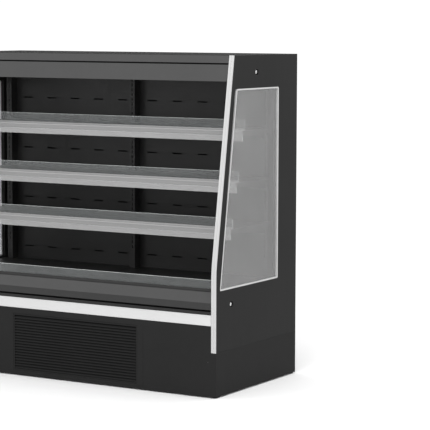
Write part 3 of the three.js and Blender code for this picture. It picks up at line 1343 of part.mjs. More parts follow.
for (const shelf of shelfPlaces()) {
  const name = `shelf_${shelf.number}`;
  add(`${name}_support`, shelfSupport(shelf), INSIDE_BLACK, 0.5, 0.3);
  add(`${name}_plate`, shelfPlate(shelf), 0x303030, 0.45, 0.3);
  add(`${name}_price_rail`, priceRail(shelf), 0xa8a8a8, 0.35, 0);
  add(`${name}_stop`, shelfStop(shelf), 0xe8f0f0, 0.05, 0, 0.25);
}

export default cabinet;
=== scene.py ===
"""The looks of an open multideck display fridge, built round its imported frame.

Metres, +Z up, the open front faces -Y. Outlines are given as (back, height): how far a point
lies behind the front plane, and how high it is above the floor.
"""

import json
import math

import bmesh
import bpy
import numpy as np
from mathutils import Matrix, Vector


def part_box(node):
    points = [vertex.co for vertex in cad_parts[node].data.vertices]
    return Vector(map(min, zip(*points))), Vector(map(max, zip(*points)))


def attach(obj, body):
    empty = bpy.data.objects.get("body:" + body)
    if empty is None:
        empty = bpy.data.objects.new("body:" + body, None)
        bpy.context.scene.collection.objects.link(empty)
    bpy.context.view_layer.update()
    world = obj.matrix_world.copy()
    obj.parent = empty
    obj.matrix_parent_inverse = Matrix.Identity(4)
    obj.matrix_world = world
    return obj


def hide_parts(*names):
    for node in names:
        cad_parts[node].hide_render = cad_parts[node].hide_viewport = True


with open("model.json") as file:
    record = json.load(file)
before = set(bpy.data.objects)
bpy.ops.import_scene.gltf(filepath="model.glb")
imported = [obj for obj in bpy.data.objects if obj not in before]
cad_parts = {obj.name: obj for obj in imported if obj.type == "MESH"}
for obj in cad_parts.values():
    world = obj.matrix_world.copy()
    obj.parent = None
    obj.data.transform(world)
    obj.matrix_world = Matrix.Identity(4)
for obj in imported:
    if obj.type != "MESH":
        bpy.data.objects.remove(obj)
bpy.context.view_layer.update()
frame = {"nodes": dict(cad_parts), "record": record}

# ---- Camera --------------------------------------------------------------------------------

PHOTO_SIDE = 430  # pixels
FOCAL_PIXELS = 1888.9
SENSOR = 36.0
CAMERA_PLACE = (6.6014, -9.8463, 2.1941)
CAMERA_YAW = math.radians(30.67)
CAMERA_DIP = math.radians(5.836)  # it looks down by this angle
CAMERA_ROLL = math.radians(0.16)

camera_data = bpy.data.cameras.new("camera")
camera_data.sensor_width = SENSOR
camera_data.lens = SENSOR * FOCAL_PIXELS / PHOTO_SIDE
camera_data.clip_end = 60
camera = bpy.data.objects.new("camera", camera_data)
camera.location = CAMERA_PLACE
camera.rotation_euler = (
    Matrix.Rotation(CAMERA_YAW, 3, "Z") @ Matrix.Rotation(math.radians(90) - CAMERA_DIP, 3, "X")
    @ Matrix.Rotation(CAMERA_ROLL, 3, "Z")).to_euler()
bpy.context.scene.collection.objects.link(camera)
bpy.context.scene.camera = camera

# ---- Sizes that the frame doesn't give -----------------------------------------------------

MM = 0.001
FRONT_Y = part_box("plinth_front_panel")[0].y
OUTER_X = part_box("end_panel_right")[1].x
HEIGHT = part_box("end_panel_right")[1].z
SHARP = math.radians(32)  # edges under this angle are shaded smooth

SLOT_OF = {s["node"]: s["material_slot"] for s in frame["record"]["subparts"]}
BODY_OF = {n: b for b, ns in frame["record"]["behaviour"]["bodies"].items() for n in ns}
SIDES = {"left": -1, "right": 1}


def back(distance):
    """The Y of a point that lies this far behind the front plane."""
    return FRONT_Y + distance


# ---- Shapes as arrays ----------------------------------------------------------------------


class Shape:
    """Corners as an (n, 3) array, and arrays of faces that each have as many corners."""

    def __init__(self, points, *faces):
        self.points = np.asarray(points, float).reshape(-1, 3)
        self.faces = [np.asarray(f, int) for f in faces if len(f)]

    def __add__(self, other):
        shift = len(self.points)
        return Shape(np.vstack([self.points, other.points]),
                     *self.faces, *[f + shift for f in other.faces])

    def moved(self, offset):
        return Shape(self.points + np.asarray(offset, float), *self.faces)

    def copies(self, offsets):
        """One copy at each offset: all corners are added to all offsets at once."""
        offsets = np.asarray(offsets, float).reshape(-1, 1, 3)
        count, size = len(offsets), len(self.points)
        points = (self.points[None] + offsets).reshape(-1, 3)
        steps = (np.arange(count) * size)[:, None, None]
        return Shape(points, *[(f[None] + steps).reshape(-1, f.shape[1]) for f in self.faces])

    def turned(self, angle, centre, axis):
        """Turned by an angle about a line through the centre along X, Y or Z."""
        a, b = {"x": (1, 2), "y": (2, 0), "z": (0, 1)}[axis]
        points = self.points - np.asarray(centre, float)
        u, v = points[:, a].copy(), points[:, b].copy()
        points[:, a] = u * math.cos(angle) - v * math.sin(angle)
        points[:, b] = u * math.sin(angle) + v * math.cos(angle)
        return Shape(points + np.asarray(centre, float), *self.faces)


def joined(shapes):
    whole = shapes[0]
    for shape in shapes[1:]:
        whole = whole + shape
    return whole


def grid_faces(rows, columns, ring_rows=False, ring_columns=False):
    """The four corners of each cell of a grid of corners, which may close on itself."""
    i = np.arange(rows if ring_rows else rows - 1)[:, None]
    j = np.arange(columns if ring_columns else columns - 1)[None]
    i2, j2 = (i + 1) % rows, (j + 1) % columns
    cells = [i * columns + j, i * columns + j2, i2 * columns + j2, i2 * columns + j]
    return np.stack(np.broadcast_arrays(*cells), -1).reshape(-1, 4)


def end_faces(rings, corners):
    """The first of many equal rings of corners as one face, turned over, and the last ring."""
    ring = np.arange(corners)
    return np.stack([ring[::-1], ring + (rings - 1) * corners])


def arcs(start, corner, end, steps):
    """An arc at each corner: where it starts, the corner and where it ends are blended as
    (1-t)^2, 2t(1-t) and t^2."""
    t = np.linspace(0, 1, steps + 1)[None, :, None]
    return ((1 - t) ** 2 * start[:, None] + 2 * t * (1 - t) * corner[:, None]
            + t * t * end[:, None])


def rounded(corners, radius, steps=4):
    """The closed outline with each corner made an arc. A radius may be given for each corner."""
    corners = np.asarray(corners, float)
    before, after = np.roll(corners, 1, 0) - corners, np.roll(corners, -1, 0) - corners
    long_before = np.linalg.norm(before, axis=1)
    long_after = np.linalg.norm(after, axis=1)
    reach = np.broadcast_to(np.asarray(radius, float), len(corners))
    reach = np.minimum(reach, 0.49 * np.minimum(long_before, long_after))
    start = corners + before * (reach / long_before)[:, None]
    end = corners + after * (reach / long_after)[:, None]
    line = arcs(start, corners, end, steps).reshape(-1, corners.shape[1])
    apart = np.linalg.norm(line - np.roll(line, 1, 0), axis=1) > 1e-7
    return line[apart]


def rectangle(low, high):
    return [(low[0], low[1]), (high[0], low[1]), (high[0], high[1]), (low[0], high[1])]


def across(outline, x0, x1, stations=2):
    """A closed outline of (back, height) carried along X from x0 to x1, with flat ends."""
    outline = np.asarray(outline, float)
    n = len(outline)
    xs = np.linspace(x0, x1, stations)
    points = np.empty((stations, n, 3))
    points[..., 0] = xs[:, None]
    points[..., 1] = FRONT_Y + outline[None, :, 0]
    points[..., 2] = outline[None, :, 1]
    return Shape(points, grid_faces(stations, n, ring_columns=True), end_faces(stations, n))


def through(outline, axis, low, high, rim=0.0):
    """A closed outline carried straight along an axis from low to high. With a rim, each end
    is drawn in by a chamfer that wide: the last ring is the outline shrunk towards its middle."""
    outline = np.asarray(outline, float)
    n = len(outline)
    middle = (outline.min(0) + outline.max(0)) / 2
    half = (outline.max(0) - outline.min(0)) / 2
    small = middle + (outline - middle) * (1 - rim / np.maximum(half, 1e-9))
    rings = [(low, small), (low + rim, outline), (high - rim, outline), (high, small)]
    if rim == 0:
        rings = [(low, outline), (high, outline)]
    order = {"x": (0, 1, 2), "y": (1, 0, 2), "z": (2, 0, 1)}[axis]
    points = np.empty((len(rings), n, 3))
    for r, (level, ring) in enumerate(rings):
        points[r][:, order[0]] = level
        points[r][:, order[1]] = ring[:, 0]
        points[r][:, order[2]] = ring[:, 1]
    return Shape(points, grid_faces(len(rings), n, ring_columns=True), end_faces(len(rings), n))


def brick(low, high, rim=0.0004):
    """A block between two corners with chamfered edges."""
    low, high = np.asarray(low, float), np.asarray(high, float)
    outline = rounded(rectangle(low[:2], high[:2]), rim, 1)
    return through(outline, "z", low[2], high[2], rim)


def carried(section, path, side, closed=False):
    """A closed section carried along a path in a plane square to the side direction. A corner
    (a, b) lies at the path's point plus a along side and b along side x tangent."""
    section, path = np.asarray(section, float), np.asarray(path, float)
    side = np.asarray(side, float)
    if closed:
        tangent = np.roll(path, -1, 0) - np.roll(path, 1, 0)
    else:
        tangent = np.gradient(path, axis=0)
    tangent /= np.linalg.norm(tangent, axis=1)[:, None]
    normal = np.cross(side, tangent)
    normal /= np.linalg.norm(normal, axis=1)[:, None]
    points = (path[:, None] + section[None, :, :1] * side
              + section[None, :, 1:] * normal[:, None])
    m, n = len(path), len(section)
    faces = [grid_faces(m, n, ring_rows=closed, ring_columns=True)]
    if not closed:
        faces.append(end_faces(m, n))
    return Shape(points, *faces)


def turned_round(profile, centre, axis, sides=32):
    """A profile of (radius, along) spun about an axis through the centre: a corner lies at
    radius cos a, radius sin a and along. Flat discs close both ends."""
    profile = np.asarray(profile, float)
    angle = np.linspace(0, 2 * np.pi, sides, endpoint=False)
    ring = np.stack([np.cos(angle), np.sin(angle)], -1)
    order = {"x": (0, 1, 2), "y": (1, 2, 0), "z": (2, 0, 1)}[axis]
    points = np.empty((len(profile), sides, 3))
    points[..., order[0]] = profile[:, None, 1]
    points[..., order[1]] = profile[:, None, 0] * ring[None, :, 0]
    points[..., order[2]] = profile[:, None, 0] * ring[None, :, 1]
    points += np.asarray(centre, float)
    return Shape(points, grid_faces(len(profile), sides, ring_columns=True),
                 end_faces(len(profile), sides))


def spun(section, centre, axis, sides=32):
    """A closed section of (radius, along) spun about an axis: a ring with a hole."""
    whole = turned_round(section, centre, axis, sides)
    return Shape(whole.points, grid_faces(len(section), sides, ring_rows=True, ring_columns=True))


def wire_ring(radius, wire, centre, axis):
    """A round wire bent into a ring: its section is a small circle at that radius."""
    angle = np.linspace(0, 2 * np.pi, 6, endpoint=False)
    section = np.column_stack([radius + wire * np.cos(angle), wire * np.sin(angle)])
    return spun(section, centre, axis, 36)


def bent_line(knots, radius, steps=5):
    """Straight runs between the knots with an arc of about the radius at each bend."""
    knots = np.asarray(knots, float)
    before, after = knots[:-2] - knots[1:-1], knots[2:] - knots[1:-1]
    long_before = np.linalg.norm(before, axis=1)[:, None]
    long_after = np.linalg.norm(after, axis=1)[:, None]
    reach = np.minimum(radius, 0.45 * np.minimum(long_before, long_after))
    start = knots[1:-1] + before / long_before * reach
    end = knots[1:-1] + after / long_after * reach
    bends = arcs(start, knots[1:-1], end, steps).reshape(-1, 3)
    return np.vstack([knots[:1], bends, knots[-1:]])


def tube(path, radius, sides=10):
    """A round tube along a path. Each ring stands square to the path, on two directions that
    are both square to the tangent; the first is the one nearest to a direction square to the
    path's overall plane, so the rings don't twist."""
    path = np.asarray(path, float)
    tangent = np.gradient(path, axis=0)
    tangent /= np.linalg.norm(tangent, axis=1)[:, None]
    spread = path - path.mean(0)
    square = np.linalg.svd(spread, full_matrices=False)[2][-1]
    first = square - (tangent @ square)[:, None] * tangent
    first /= np.linalg.norm(first, axis=1)[:, None]
    second = np.cross(tangent, first)
    angle = np.linspace(0, 2 * np.pi, sides, endpoint=False)
    points = (path[:, None] + radius * np.cos(angle)[None, :, None] * first[:, None]
              + radius * np.sin(angle)[None, :, None] * second[:, None])
    return Shape(points, grid_faces(len(path), sides, ring_columns=True),
                 end_faces(len(path), sides))


# ---- Pieces --------------------------------------------------------------------------------


def mesh_of(name, shape):
    """A mesh of the shape with every face pointing outwards."""
    faces = [face for group in shape.faces for face in group.tolist()]
    mesh = bpy.data.meshes.new(name)
    mesh.from_pydata(shape.points.tolist(), [], faces)
    work = bmesh.new()
    work.from_mesh(mesh)
    bmesh.ops.recalc_face_normals(work, faces=work.faces)
    work.to_mesh(mesh)
    work.free()
    return mesh


def spans(shape):
    """Marks for each corner: its place along X and its height, from 0 to 1 over the shape."""
    low, high = shape.points.min(0), shape.points.max(0)
    share = (shape.points - low) / (high - low)
    return {"along": share[:, 0], "height": share[:, 2]}


def piece_of(name, shape, finish, stands_for=(), slot=None, **marks):
    """A piece of the cabinet: its mesh, its finish and which solids it stands for; it rides on
    the first one's body. Marks are named values for each corner, which its finish may read."""
    mesh = mesh_of(name, shape)
    mesh.shade_smooth()
    mesh.set_sharp_from_angle(angle=SHARP)
    mesh.materials.append(finish)
    for mark, values in marks.items():
        mesh.attributes.new(mark, "FLOAT", "POINT").data.foreach_set(
            "value", np.asarray(values, np.float32))
    piece = bpy.data.objects.new(name, mesh)
    bpy.context.scene.collection.objects.link(piece)
    stands_for = [stands_for] if isinstance(stands_for, str) else list(stands_for)
    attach(piece, BODY_OF[stands_for[0]] if stands_for else "cabinet")
    if stands_for:
        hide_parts(*stands_for)
    return piece


def dressed(node, finish, edges):
    """A copy of a solid with its doubles merged and its edges rounded. Its triangles are kept
    and shaded flat, so a level face stays level and a narrow one doesn't fold over."""
    mesh = frame["nodes"][node].data.copy()
    work = bmesh.new()
    work.from_mesh(mesh)
    bmesh.ops.remove_doubles(work, verts=work.verts, dist=0.02 * MM)
    bmesh.ops.recalc_face_normals(work, faces=work.faces)
    work.to_mesh(mesh)
    work.free()
    mesh.shade_flat()
    mesh.materials.clear()
    mesh.materials.append(finish)
    piece = bpy.data.objects.new(node + "_dressed", mesh)
    bpy.context.scene.collection.objects.link(piece)
    bevel = piece.modifiers.new("rounded_edges", "BEVEL")
    bevel.width = edges
    bevel.segments = 2
    bevel.limit_method = "ANGLE"
    bevel.angle_limit = SHARP
    bevel.harden_normals = False
    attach(piece, BODY_OF[node])
    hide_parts(node)
    return piece


# ---- Shader maths --------------------------------------------------------------------------


def maths(operation, other_first=False):
    """A method of Signal that adds one Math node."""
    def method(self, other):
        first, second = (other, self) if other_first else (self, other)
        return self.finish.node("ShaderNodeMath", {"operation": operation},
                                {0: first, 1: second})
    return method


class Signal:
    """The value of a socket. Sums, products and powers of signals add Math nodes."""

    def __init__(self, finish, socket):
        self.finish, self.socket = finish, socket

    __add__, __radd__ = maths("ADD"), maths("ADD", True)
    __sub__, __rsub__ = maths("SUBTRACT"), maths("SUBTRACT", True)
    __mul__, __rmul__ = maths("MULTIPLY"), maths("MULTIPLY", True)
    __pow__ = maths("POWER")
    at_least, at_most = maths("MAXIMUM"), maths("MINIMUM")


class Finish:
    """One material, made of a principled shader and the nodes that feed it."""

    def __init__(self, name, **constants):
        self.material = bpy.data.materials.new(name)
        self.material.use_nodes = True
        self.tree = self.material.node_tree
        self.shader = self.tree.nodes["Principled BSDF"]
        for socket, value in constants.items():
            self.shader.inputs[socket.replace("_", " ")].default_value = value

    def node(self, kind, settings=None, inputs=None, output=0):
        """A node with its settings and its sockets' values or links, as one of its outputs."""
        node = self.tree.nodes.new(kind)
        for setting, value in (settings or {}).items():
            if setting == "stops":
                ramp = node.color_ramp
                while len(ramp.elements) < len(value):
                    ramp.elements.new(1)
                for element, (place, colour) in zip(ramp.elements, value):
                    element.position, element.color = place, colour
            else:
                setattr(node, setting, value)
        for socket, value in (inputs or {}).items():
            if isinstance(value, Signal):
                self.tree.links.new(value.socket, node.inputs[socket])
            else:
                node.inputs[socket].default_value = value
        return Signal(self, node.outputs[output])

    def feed(self, **signals):
        """Links signals to the shader's sockets."""
        for socket, signal in signals.items():
            self.tree.links.new(signal.socket, self.shader.inputs[socket.replace("_", " ")])
        return self

    def place(self, stretch=(1, 1, 1), turn=(0, 0, 0)):
        """Object coordinates in metres, each multiplied by its stretch after the turn."""
        spot = self.node("ShaderNodeTexCoord", output="Object")
        return self.node("ShaderNodeMapping", {"vector_type": "POINT"},
                         {"Vector": spot, "Scale": stretch, "Rotation": turn})

    def height(self):
        """The height above the floor, in metres, on a piece whose own origin is the cabinet's."""
        return self.node("ShaderNodeSeparateXYZ", {}, {"Vector": self.place()}, output="Z")

    def noise(self, grain, detail=2.0, stretch=(1, 1, 1), turn=(0, 0, 0)):
        """Soft noise whose blots are about the grain across, in metres."""
        return self.node("ShaderNodeTexNoise", {"noise_dimensions": "3D"},
                         {"Vector": self.place(stretch, turn), "Scale": 1 / grain,
                          "Detail": detail, "Roughness": 0.55})

    def mark(self, name):
        """A value that the mesh holds for each corner."""
        return self.node("ShaderNodeAttribute", {"attribute_name": name}, output="Fac")

    def ramp(self, signal, low, high):
        """0 up to low, 1 from high, and straight between them."""
        return self.node("ShaderNodeMapRange", {"clamp": True},
                         {"Value": signal, "From Min": low, "From Max": high})

    def blend(self, share, first, second):
        """A colour between two colours."""
        return self.node("ShaderNodeMix", {"data_type": "RGBA"},
                         {0: share, 6: first, 7: second}, output=2)

    def bump(self, height, depth):
        """A bump of that depth in metres for a height from 0 to 1."""
        return self.node("ShaderNodeBump", {}, {"Height": height, "Distance": depth,
                                                "Strength": 1.0})

    def done(self):
        return self.material


def grey(level):
    """The linear colour of an even grey given as 0 to 255."""
    value = level / 255
    value = value / 12.92 if value <= 0.04045 else ((value + 0.055) / 1.055) ** 2.4
    return (value, value, value, 1)


def tint(red, green, blue):
    return tuple(grey(c)[0] for c in (red, green, blue)) + (1,)


def shade(colour, factor):
    return tuple(min(1, c * factor) for c in colour[:3]) + (1,)


# ---- Finishes ------------------------------------------------------------------------------


def powder_coat(name, colour, roughness, specular=0.3, grain=1.3 * MM, depth=0.03 * MM):
    """Powder coat: an even colour with a little cloudiness, the fine orange peel of the powder
    and thin dust that makes it duller in places."""
    f = Finish(name, Metallic=0.0, Specular_IOR_Level=specular)
    clouds = f.noise(0.35, 3)
    peel = f.noise(grain, 1)
    dust = f.noise(0.06, 4)
    f.feed(Base_Color=f.blend(clouds * 0.6 + dust * 0.4, shade(colour, 0.86), shade(colour, 1.14)),
           Roughness=roughness + (dust - 0.5) * 0.16 + (peel - 0.5) * 0.08,
           Normal=f.bump(peel, depth))
    return f.done()


def painted_shading_coat(name, upper, lower, level, roughness, specular, matt=0.0):
    """Powder coat with one colour above a level and another below, as painted light and shade; the
    part above may be more matt.
    """
    f = Finish(name, Metallic=0.0, Specular_IOR_Level=specular)
    clouds = f.noise(0.35, 3)
    peel = f.noise(1.3 * MM, 1)
    dust = f.noise(0.06, 4)
    # over is 1 above the level: the faces whose colour carries the painted light or painted shade
    over = f.ramp(f.height(), level - 0.4 * MM, level + 0.4 * MM)
    share = clouds * 0.6 + dust * 0.4
    f.feed(Base_Color=f.blend(over, f.blend(share, shade(lower, 0.88), shade(lower, 1.12)),
                              f.blend(share, shade(upper, 0.88), shade(upper, 1.12))),
           Roughness=(roughness + (dust - 0.5) * 0.16 + (peel - 0.5) * 0.08 + over * matt),
           Normal=f.bump(peel, 0.03 * MM))
    return f.done()


def grained_skin(name, colour):
    """A plastic coated panel: a fine leathery grain that runs a little up and down, and faint
    long marks left by wiping."""
    f = Finish(name, Metallic=0.0, Specular_IOR_Level=0.04)
    grain = f.noise(1.1 * MM, 2, stretch=(1, 1, 0.6))
    wiped = f.noise(0.03, 3, stretch=(1, 1, 0.12))
    clouds = f.noise(0.5, 2)
    share = clouds * 0.7 + wiped * 0.3
    f.feed(Base_Color=f.blend(share, shade(colour, 0.88), shade(colour, 1.12)),
           Roughness=0.47 + (wiped - 0.5) * 0.12 + (grain - 0.5) * 0.12,
           Normal=f.bump(grain, 0.05 * MM))
    return f.done()


def brushed_aluminium(name, colour, metallic, roughness, stretch, turn=(0, 0, 0), contrast=0.16):
    """Brushed, anodised aluminium: hair lines that are long one way and thin the other, over
    a faint cloudiness of the anodising."""
    f = Finish(name, Metallic=metallic, Specular_IOR_Level=0.5)
    hair = f.noise(1.2 * MM, 3, stretch, turn)
    broad = f.noise(9 * MM, 2, stretch, turn)
    clouds = f.noise(0.12, 2)
    lines = hair * 0.55 + broad * 0.45
    f.feed(Base_Color=f.blend(lines * 0.8 + clouds * 0.2, shade(colour, 1 - contrast),
                              shade(colour, 1 + contrast)),
           Roughness=roughness + (lines - 0.5) * 0.22,
           Normal=f.bump(hair, 0.012 * MM))
    return f.done()


def galvanised_sheet(name):
    """Zinc coat: flat spangles of many greys with fine frost on them."""
    f = Finish(name, Metallic=0.85)
    flakes = f.node("ShaderNodeTexVoronoi", {"feature": "F1"},
                    {"Vector": f.place(), "Scale": 140.0}, output="Color")
    shine = f.node("ShaderNodeSeparateColor", {}, {0: flakes})
    frost = f.noise(0.8 * MM, 2)
    f.feed(Base_Color=f.blend(shine * 0.6 + frost * 0.4, grey(128), grey(186)),
           Roughness=0.34 + shine * 0.16 + frost * 0.08,
           Normal=f.bump(frost, 0.01 * MM))
    return f.done()


def bare_metal(name, colour, roughness, grain=2 * MM, metallic=1.0):
    """Plain metal with faint handling marks and a dull bloom in patches."""
    f = Finish(name, Metallic=metallic)
    bloom = f.noise(0.02, 3)
    fine = f.noise(grain, 2)
    f.feed(Base_Color=f.blend(bloom, shade(colour, 0.78), shade(colour, 1.08)),
           Roughness=roughness + (bloom - 0.5) * 0.2 + (fine - 0.5) * 0.1,
           Normal=f.bump(fine, 0.008 * MM))
    return f.done()


def moulded(name, colour, roughness, specular=0.4, grain=0.6 * MM, depth=0.02 * MM):
    """Moulded plastic or rubber with a fine spark grain."""
    f = Finish(name, Metallic=0.0, Specular_IOR_Level=specular)
    fine = f.noise(grain, 2)
    clouds = f.noise(0.05, 2)
    f.feed(Base_Color=f.blend(clouds, shade(colour, 0.9), shade(colour, 1.1)),
           Roughness=roughness + (fine - 0.5) * 0.14,
           Normal=f.bump(fine, depth))
    return f.done()


def ticket_plastic(name):
    """The ticket rail's holder: satin grey, paler in the raised band along its top, with faint
    long streaks of the extruding. The mark called height is 1 at the hook's tip."""
    f = Finish(name, Metallic=0.0, Specular_IOR_Level=0.4)
    band = f.ramp(f.mark("height"), 0.56, 0.6)
    streaks = f.noise(2 * MM, 2, stretch=(0.02, 1, 1))
    dust = f.noise(0.05, 3)
    body = f.blend(band, grey(126), grey(146))
    f.feed(Base_Color=f.blend(streaks * 0.06 + dust * 0.06, body, grey(170)),
           Roughness=0.34 + streaks * 0.1)
    return f.done()


def clear_plastic(name, veil=0.03, shine=0.12, colour=(0.86, 0.9, 0.9, 1)):
    """Clear sheet plastic: nearly unseen face on, with a painted highlight along its top edge and
    its ends, which are whiter and less clear there, and more mirror-like at a low angle. The marks
    along and height run from 0 to 1."""
    f = Finish(name, Metallic=0.0, Specular_IOR_Level=0.5)
    # painted highlight: the top edge and both ends are made whiter and less clear
    end = f.ramp(((f.mark("along") - 0.5) ** 2.0), 0.2485, 0.2492)
    edge = f.ramp(f.mark("height"), 0.968, 0.985).at_least(end)
    smear = f.noise(0.05, 3)
    glance = f.node("ShaderNodeFresnel", {}, {"IOR": 1.45})
    f.feed(Base_Color=f.blend(edge, colour, (0.93, 0.97, 0.96, 1)),
           Alpha=(veil + smear * 0.03 + glance * shine + edge * 0.3).at_most(1.0),
           Roughness=0.06 + edge * 0.4 + smear * 0.06)
    return f.done()


def hazy_glass(name):
    """The end window: two panes that show a pale veil, streaked where it was wiped."""
    f = Finish(name, Metallic=0.0, Specular_IOR_Level=0.5)
    smear = f.noise(0.12, 3, stretch=(1, 1, 0.35))
    glance = f.node("ShaderNodeFresnel", {}, {"IOR": 1.5})
    f.feed(Base_Color=f.blend(smear, grey(168), grey(182)),
           Alpha=(0.1 + smear * 0.06 + glance * 0.3).at_most(1.0),
           Roughness=0.05 + smear * 0.05)
    return f.done()


def lit_diffuser(name):
    """The lens of the lamp: ribbed white plastic with an even glow."""
    f = Finish(name, Metallic=0.0, Specular_IOR_Level=0.4, Emission_Strength=1.2)
    ribs = f.node("ShaderNodeTexWave", {"wave_type": "BANDS", "bands_direction": "Y"},
                  {"Vector": f.place(), "Scale": 260.0, "Distortion": 0.0})
    glow = f.noise(0.03, 1)
    f.feed(Base_Color=f.blend(glow, grey(226), grey(240)),
           Emission_Color=f.blend(glow, tint(238, 242, 250), tint(250, 251, 255)),
           Roughness=0.3 + ribs * 0.1, Normal=f.bump(ribs, 0.05 * MM))
    return f.done()


def red_segments(name):
    f = Finish(name, Metallic=0.0, Emission_Strength=2.4)
    glow = f.noise(1 * MM, 1)
    f.feed(Base_Color=f.blend(glow, tint(150, 10, 8), tint(170, 20, 14)),
           Emission_Color=f.blend(glow, tint(255, 40, 24), tint(255, 70, 40)))
    return f.done()


def studio_floor(name):
    """A smooth pale floor with a barely seen unevenness."""
    f = Finish(name, Metallic=0.0, Specular_IOR_Level=0.1)
    uneven = f.noise(0.4, 2)
    f.feed(Base_Color=f.blend(uneven, grey(251), grey(254)), Roughness=0.9 + uneven * 0.05)
    return f.done()


FINISHES = {
    "end_panel": grained_skin("end_panel_skin", grey(37)),
    "plinth": powder_coat("plinth_coat", grey(38), 0.5, 0.03),
    "plinth_grille": powder_coat("grille_coat", grey(37), 0.6, 0.03),
    # canopy: its top face is painted darker than its front, painted shade on the top face
    "canopy": painted_shading_coat("canopy_coat", grey(48), grey(73), HEIGHT - 1.4 * MM, 0.5, 0.06, 0.45),
    # nose: its tilted upper face is painted lighter than the upright face below, painted light
    # where the tilted face catches more light
    "nose": painted_shading_coat("nose_coat", grey(70), grey(50), 0.561, 0.45, 0.14),
    "interior": powder_coat("interior_coat", grey(40), 0.4, 0.25),
    "shelf": powder_coat("shelf_coat", grey(44), 0.38, 0.3),
    "insulated_body": powder_coat("body_skin", grey(36), 0.5, 0.12, grain=2 * MM),
    "chassis": powder_coat("chassis_coat", grey(48), 0.55, 0.3, grain=2 * MM),
    "compressor": powder_coat("compressor_enamel", grey(24), 0.22, 0.5, grain=4 * MM),
    "bumper": brushed_aluminium("bumper_aluminium", grey(196), 0.1, 0.42, (0.05, 1, 1),
                                (0, math.radians(18), 0), 0.07),
    "edge_trim": brushed_aluminium("trim_aluminium", grey(188), 0.4, 0.34, (1, 1, 0.03)),
    "coil_fins": bare_metal("fin_aluminium", grey(176), 0.36),
    "galvanised": galvanised_sheet("galvanised_sheet"),
    "end_bolt": bare_metal("bolt_chrome", grey(225), 0.12),
    "levelling_foot": moulded("foot_rubber", grey(38), 0.7),
    "black_plastic": moulded("black_plastic", grey(24), 0.5, 0.3),
    "honeycomb": moulded("honeycomb_plastic", grey(88), 0.5),
    "fan_blades": moulded("fan_plastic", grey(32), 0.42),
    "rocker": moulded("white_plastic", grey(238), 0.22, 0.5, depth=0.005 * MM),
    "window_seal": moulded("seal_rubber", grey(190), 0.55, 0.3),
    "price_rail": ticket_plastic("ticket_plastic"),
    "clear_guard": clear_plastic("clear_guard"),
    "window_glass": hazy_glass("window_glass"),
    "light_bar": lit_diffuser("lamp_lens"),
    "surround": powder_coat("surround_coat", grey(38), 0.5, 0.03),
}
TICKET_FLAP = clear_plastic("ticket_flap", 0.42, 0.3, grey(186))
COPPER = bare_metal("copper_pipe", tint(196, 118, 84), 0.3)
ZINC = bare_metal("zinc_plated_steel", grey(170), 0.3)
SEGMENTS = red_segments("lit_segments")
PALE_KEYS = moulded("pale_keys", grey(200), 0.35)
SMOKED = moulded("smoked_window", grey(14), 0.12, 0.5, depth=0.002 * MM)
PIPE_FOAM = moulded("pipe_foam", grey(30), 0.85, 0.2, grain=2 * MM, depth=0.2 * MM)


# ---- End panels ----------------------------------------------------------------------------

TRIM_WIDTH = 32 * MM
TRIM_THICKNESS = 5 * MM
TRIM_GROOVE_INSET = 14 * MM
TRIM_GROOVE = 2 * MM
BEND_HEIGHT = 0.748
END_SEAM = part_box("end_panel_right")[0].z
LEAN = 0.201


def edge_trim(side):
    """The bent edge strip: a flat section with a groove carried up the end's front edge."""
    sign = SIDES[side]
    half = TRIM_WIDTH / 2
    line = sign * (half - TRIM_GROOVE_INSET)
    groove = TRIM_GROOVE / 2
    section = rounded([
        (-half, -TRIM_THICKNESS), (half, -TRIM_THICKNESS), (half, 0),
        (line + groove, 0), (line + groove, -groove), (line - groove, -groove),
        (line - groove, 0), (-half, 0),
    ], [0.4 * MM, 0.4 * MM, 1.2 * MM, 0.2 * MM, 0.2 * MM, 0.2 * MM, 0.2 * MM, 1.2 * MM], 3)
    x = sign * (OUTER_X - half)
    path = bent_line([(x, back(0), END_SEAM), (x, back(0), BEND_HEIGHT),
                      (x, back(LEAN), HEIGHT)], 60 * MM, 8)
    node = f"edge_trim_{side}"
    piece_of(f"{node}_strip", carried(section, path, (1, 0, 0)), FINISHES["edge_trim"],
             stands_for=node)


WINDOW_FOOT = 0.630
WINDOW_HEAD = HEIGHT - 0.196
WINDOW_FRONT = 0.047  # behind the panel's front edge
SEAL_BEAD = 9 * MM


def window_line():
    """The corners of the window as (back, height), anticlockwise from its front foot. Its front
    edge leans as the panel's does."""
    lean = LEAN / (HEIGHT - BEND_HEIGHT)
    head_front = WINDOW_FRONT + lean * (WINDOW_HEAD - WINDOW_FOOT)
    low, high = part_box("window_seal_right")
    return np.array([(low.y - FRONT_Y, low.z), (high.y - FRONT_Y, low.z),
                     (high.y - FRONT_Y, high.z), (head_front, high.z)])


def window_seal(side):
    """A rubber bead that stands round the window, with rounded edges."""
    low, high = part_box(f"window_seal_{side}")
    x = (low.x + high.x) / 2
    half = (high.x - low.x) / 2
    inset = SEAL_BEAD / 2
    corners = window_line()
    middle = corners.mean(0)
    drawn_in = corners + np.sign(middle - corners) * inset
    outline = rounded(drawn_in, 7 * MM, 6)
    path = np.column_stack([np.full(len(outline), x), back(outline[:, 0]), outline[:, 1]])
    section = rounded([(-half, -inset), (half, -inset), (half, inset), (-half, inset)],
                      [1.5 * MM] * 4, 4)
    node = f"window_seal_{side}"
    piece_of(f"{node}_bead", carried(section, path, (1, 0, 0), closed=True),
             FINISHES["window_seal"], stands_for=node)


BOLT_HEAD = 8 * MM
BOLT_SHANK_RADIUS = 5 * MM
BOLT_SOCKET = 4.5 * MM
SOCKET_DEPTH = 4 * MM
CUP_RADIUS = 19.8 * MM
CUP_MOUTH = 18.4 * MM


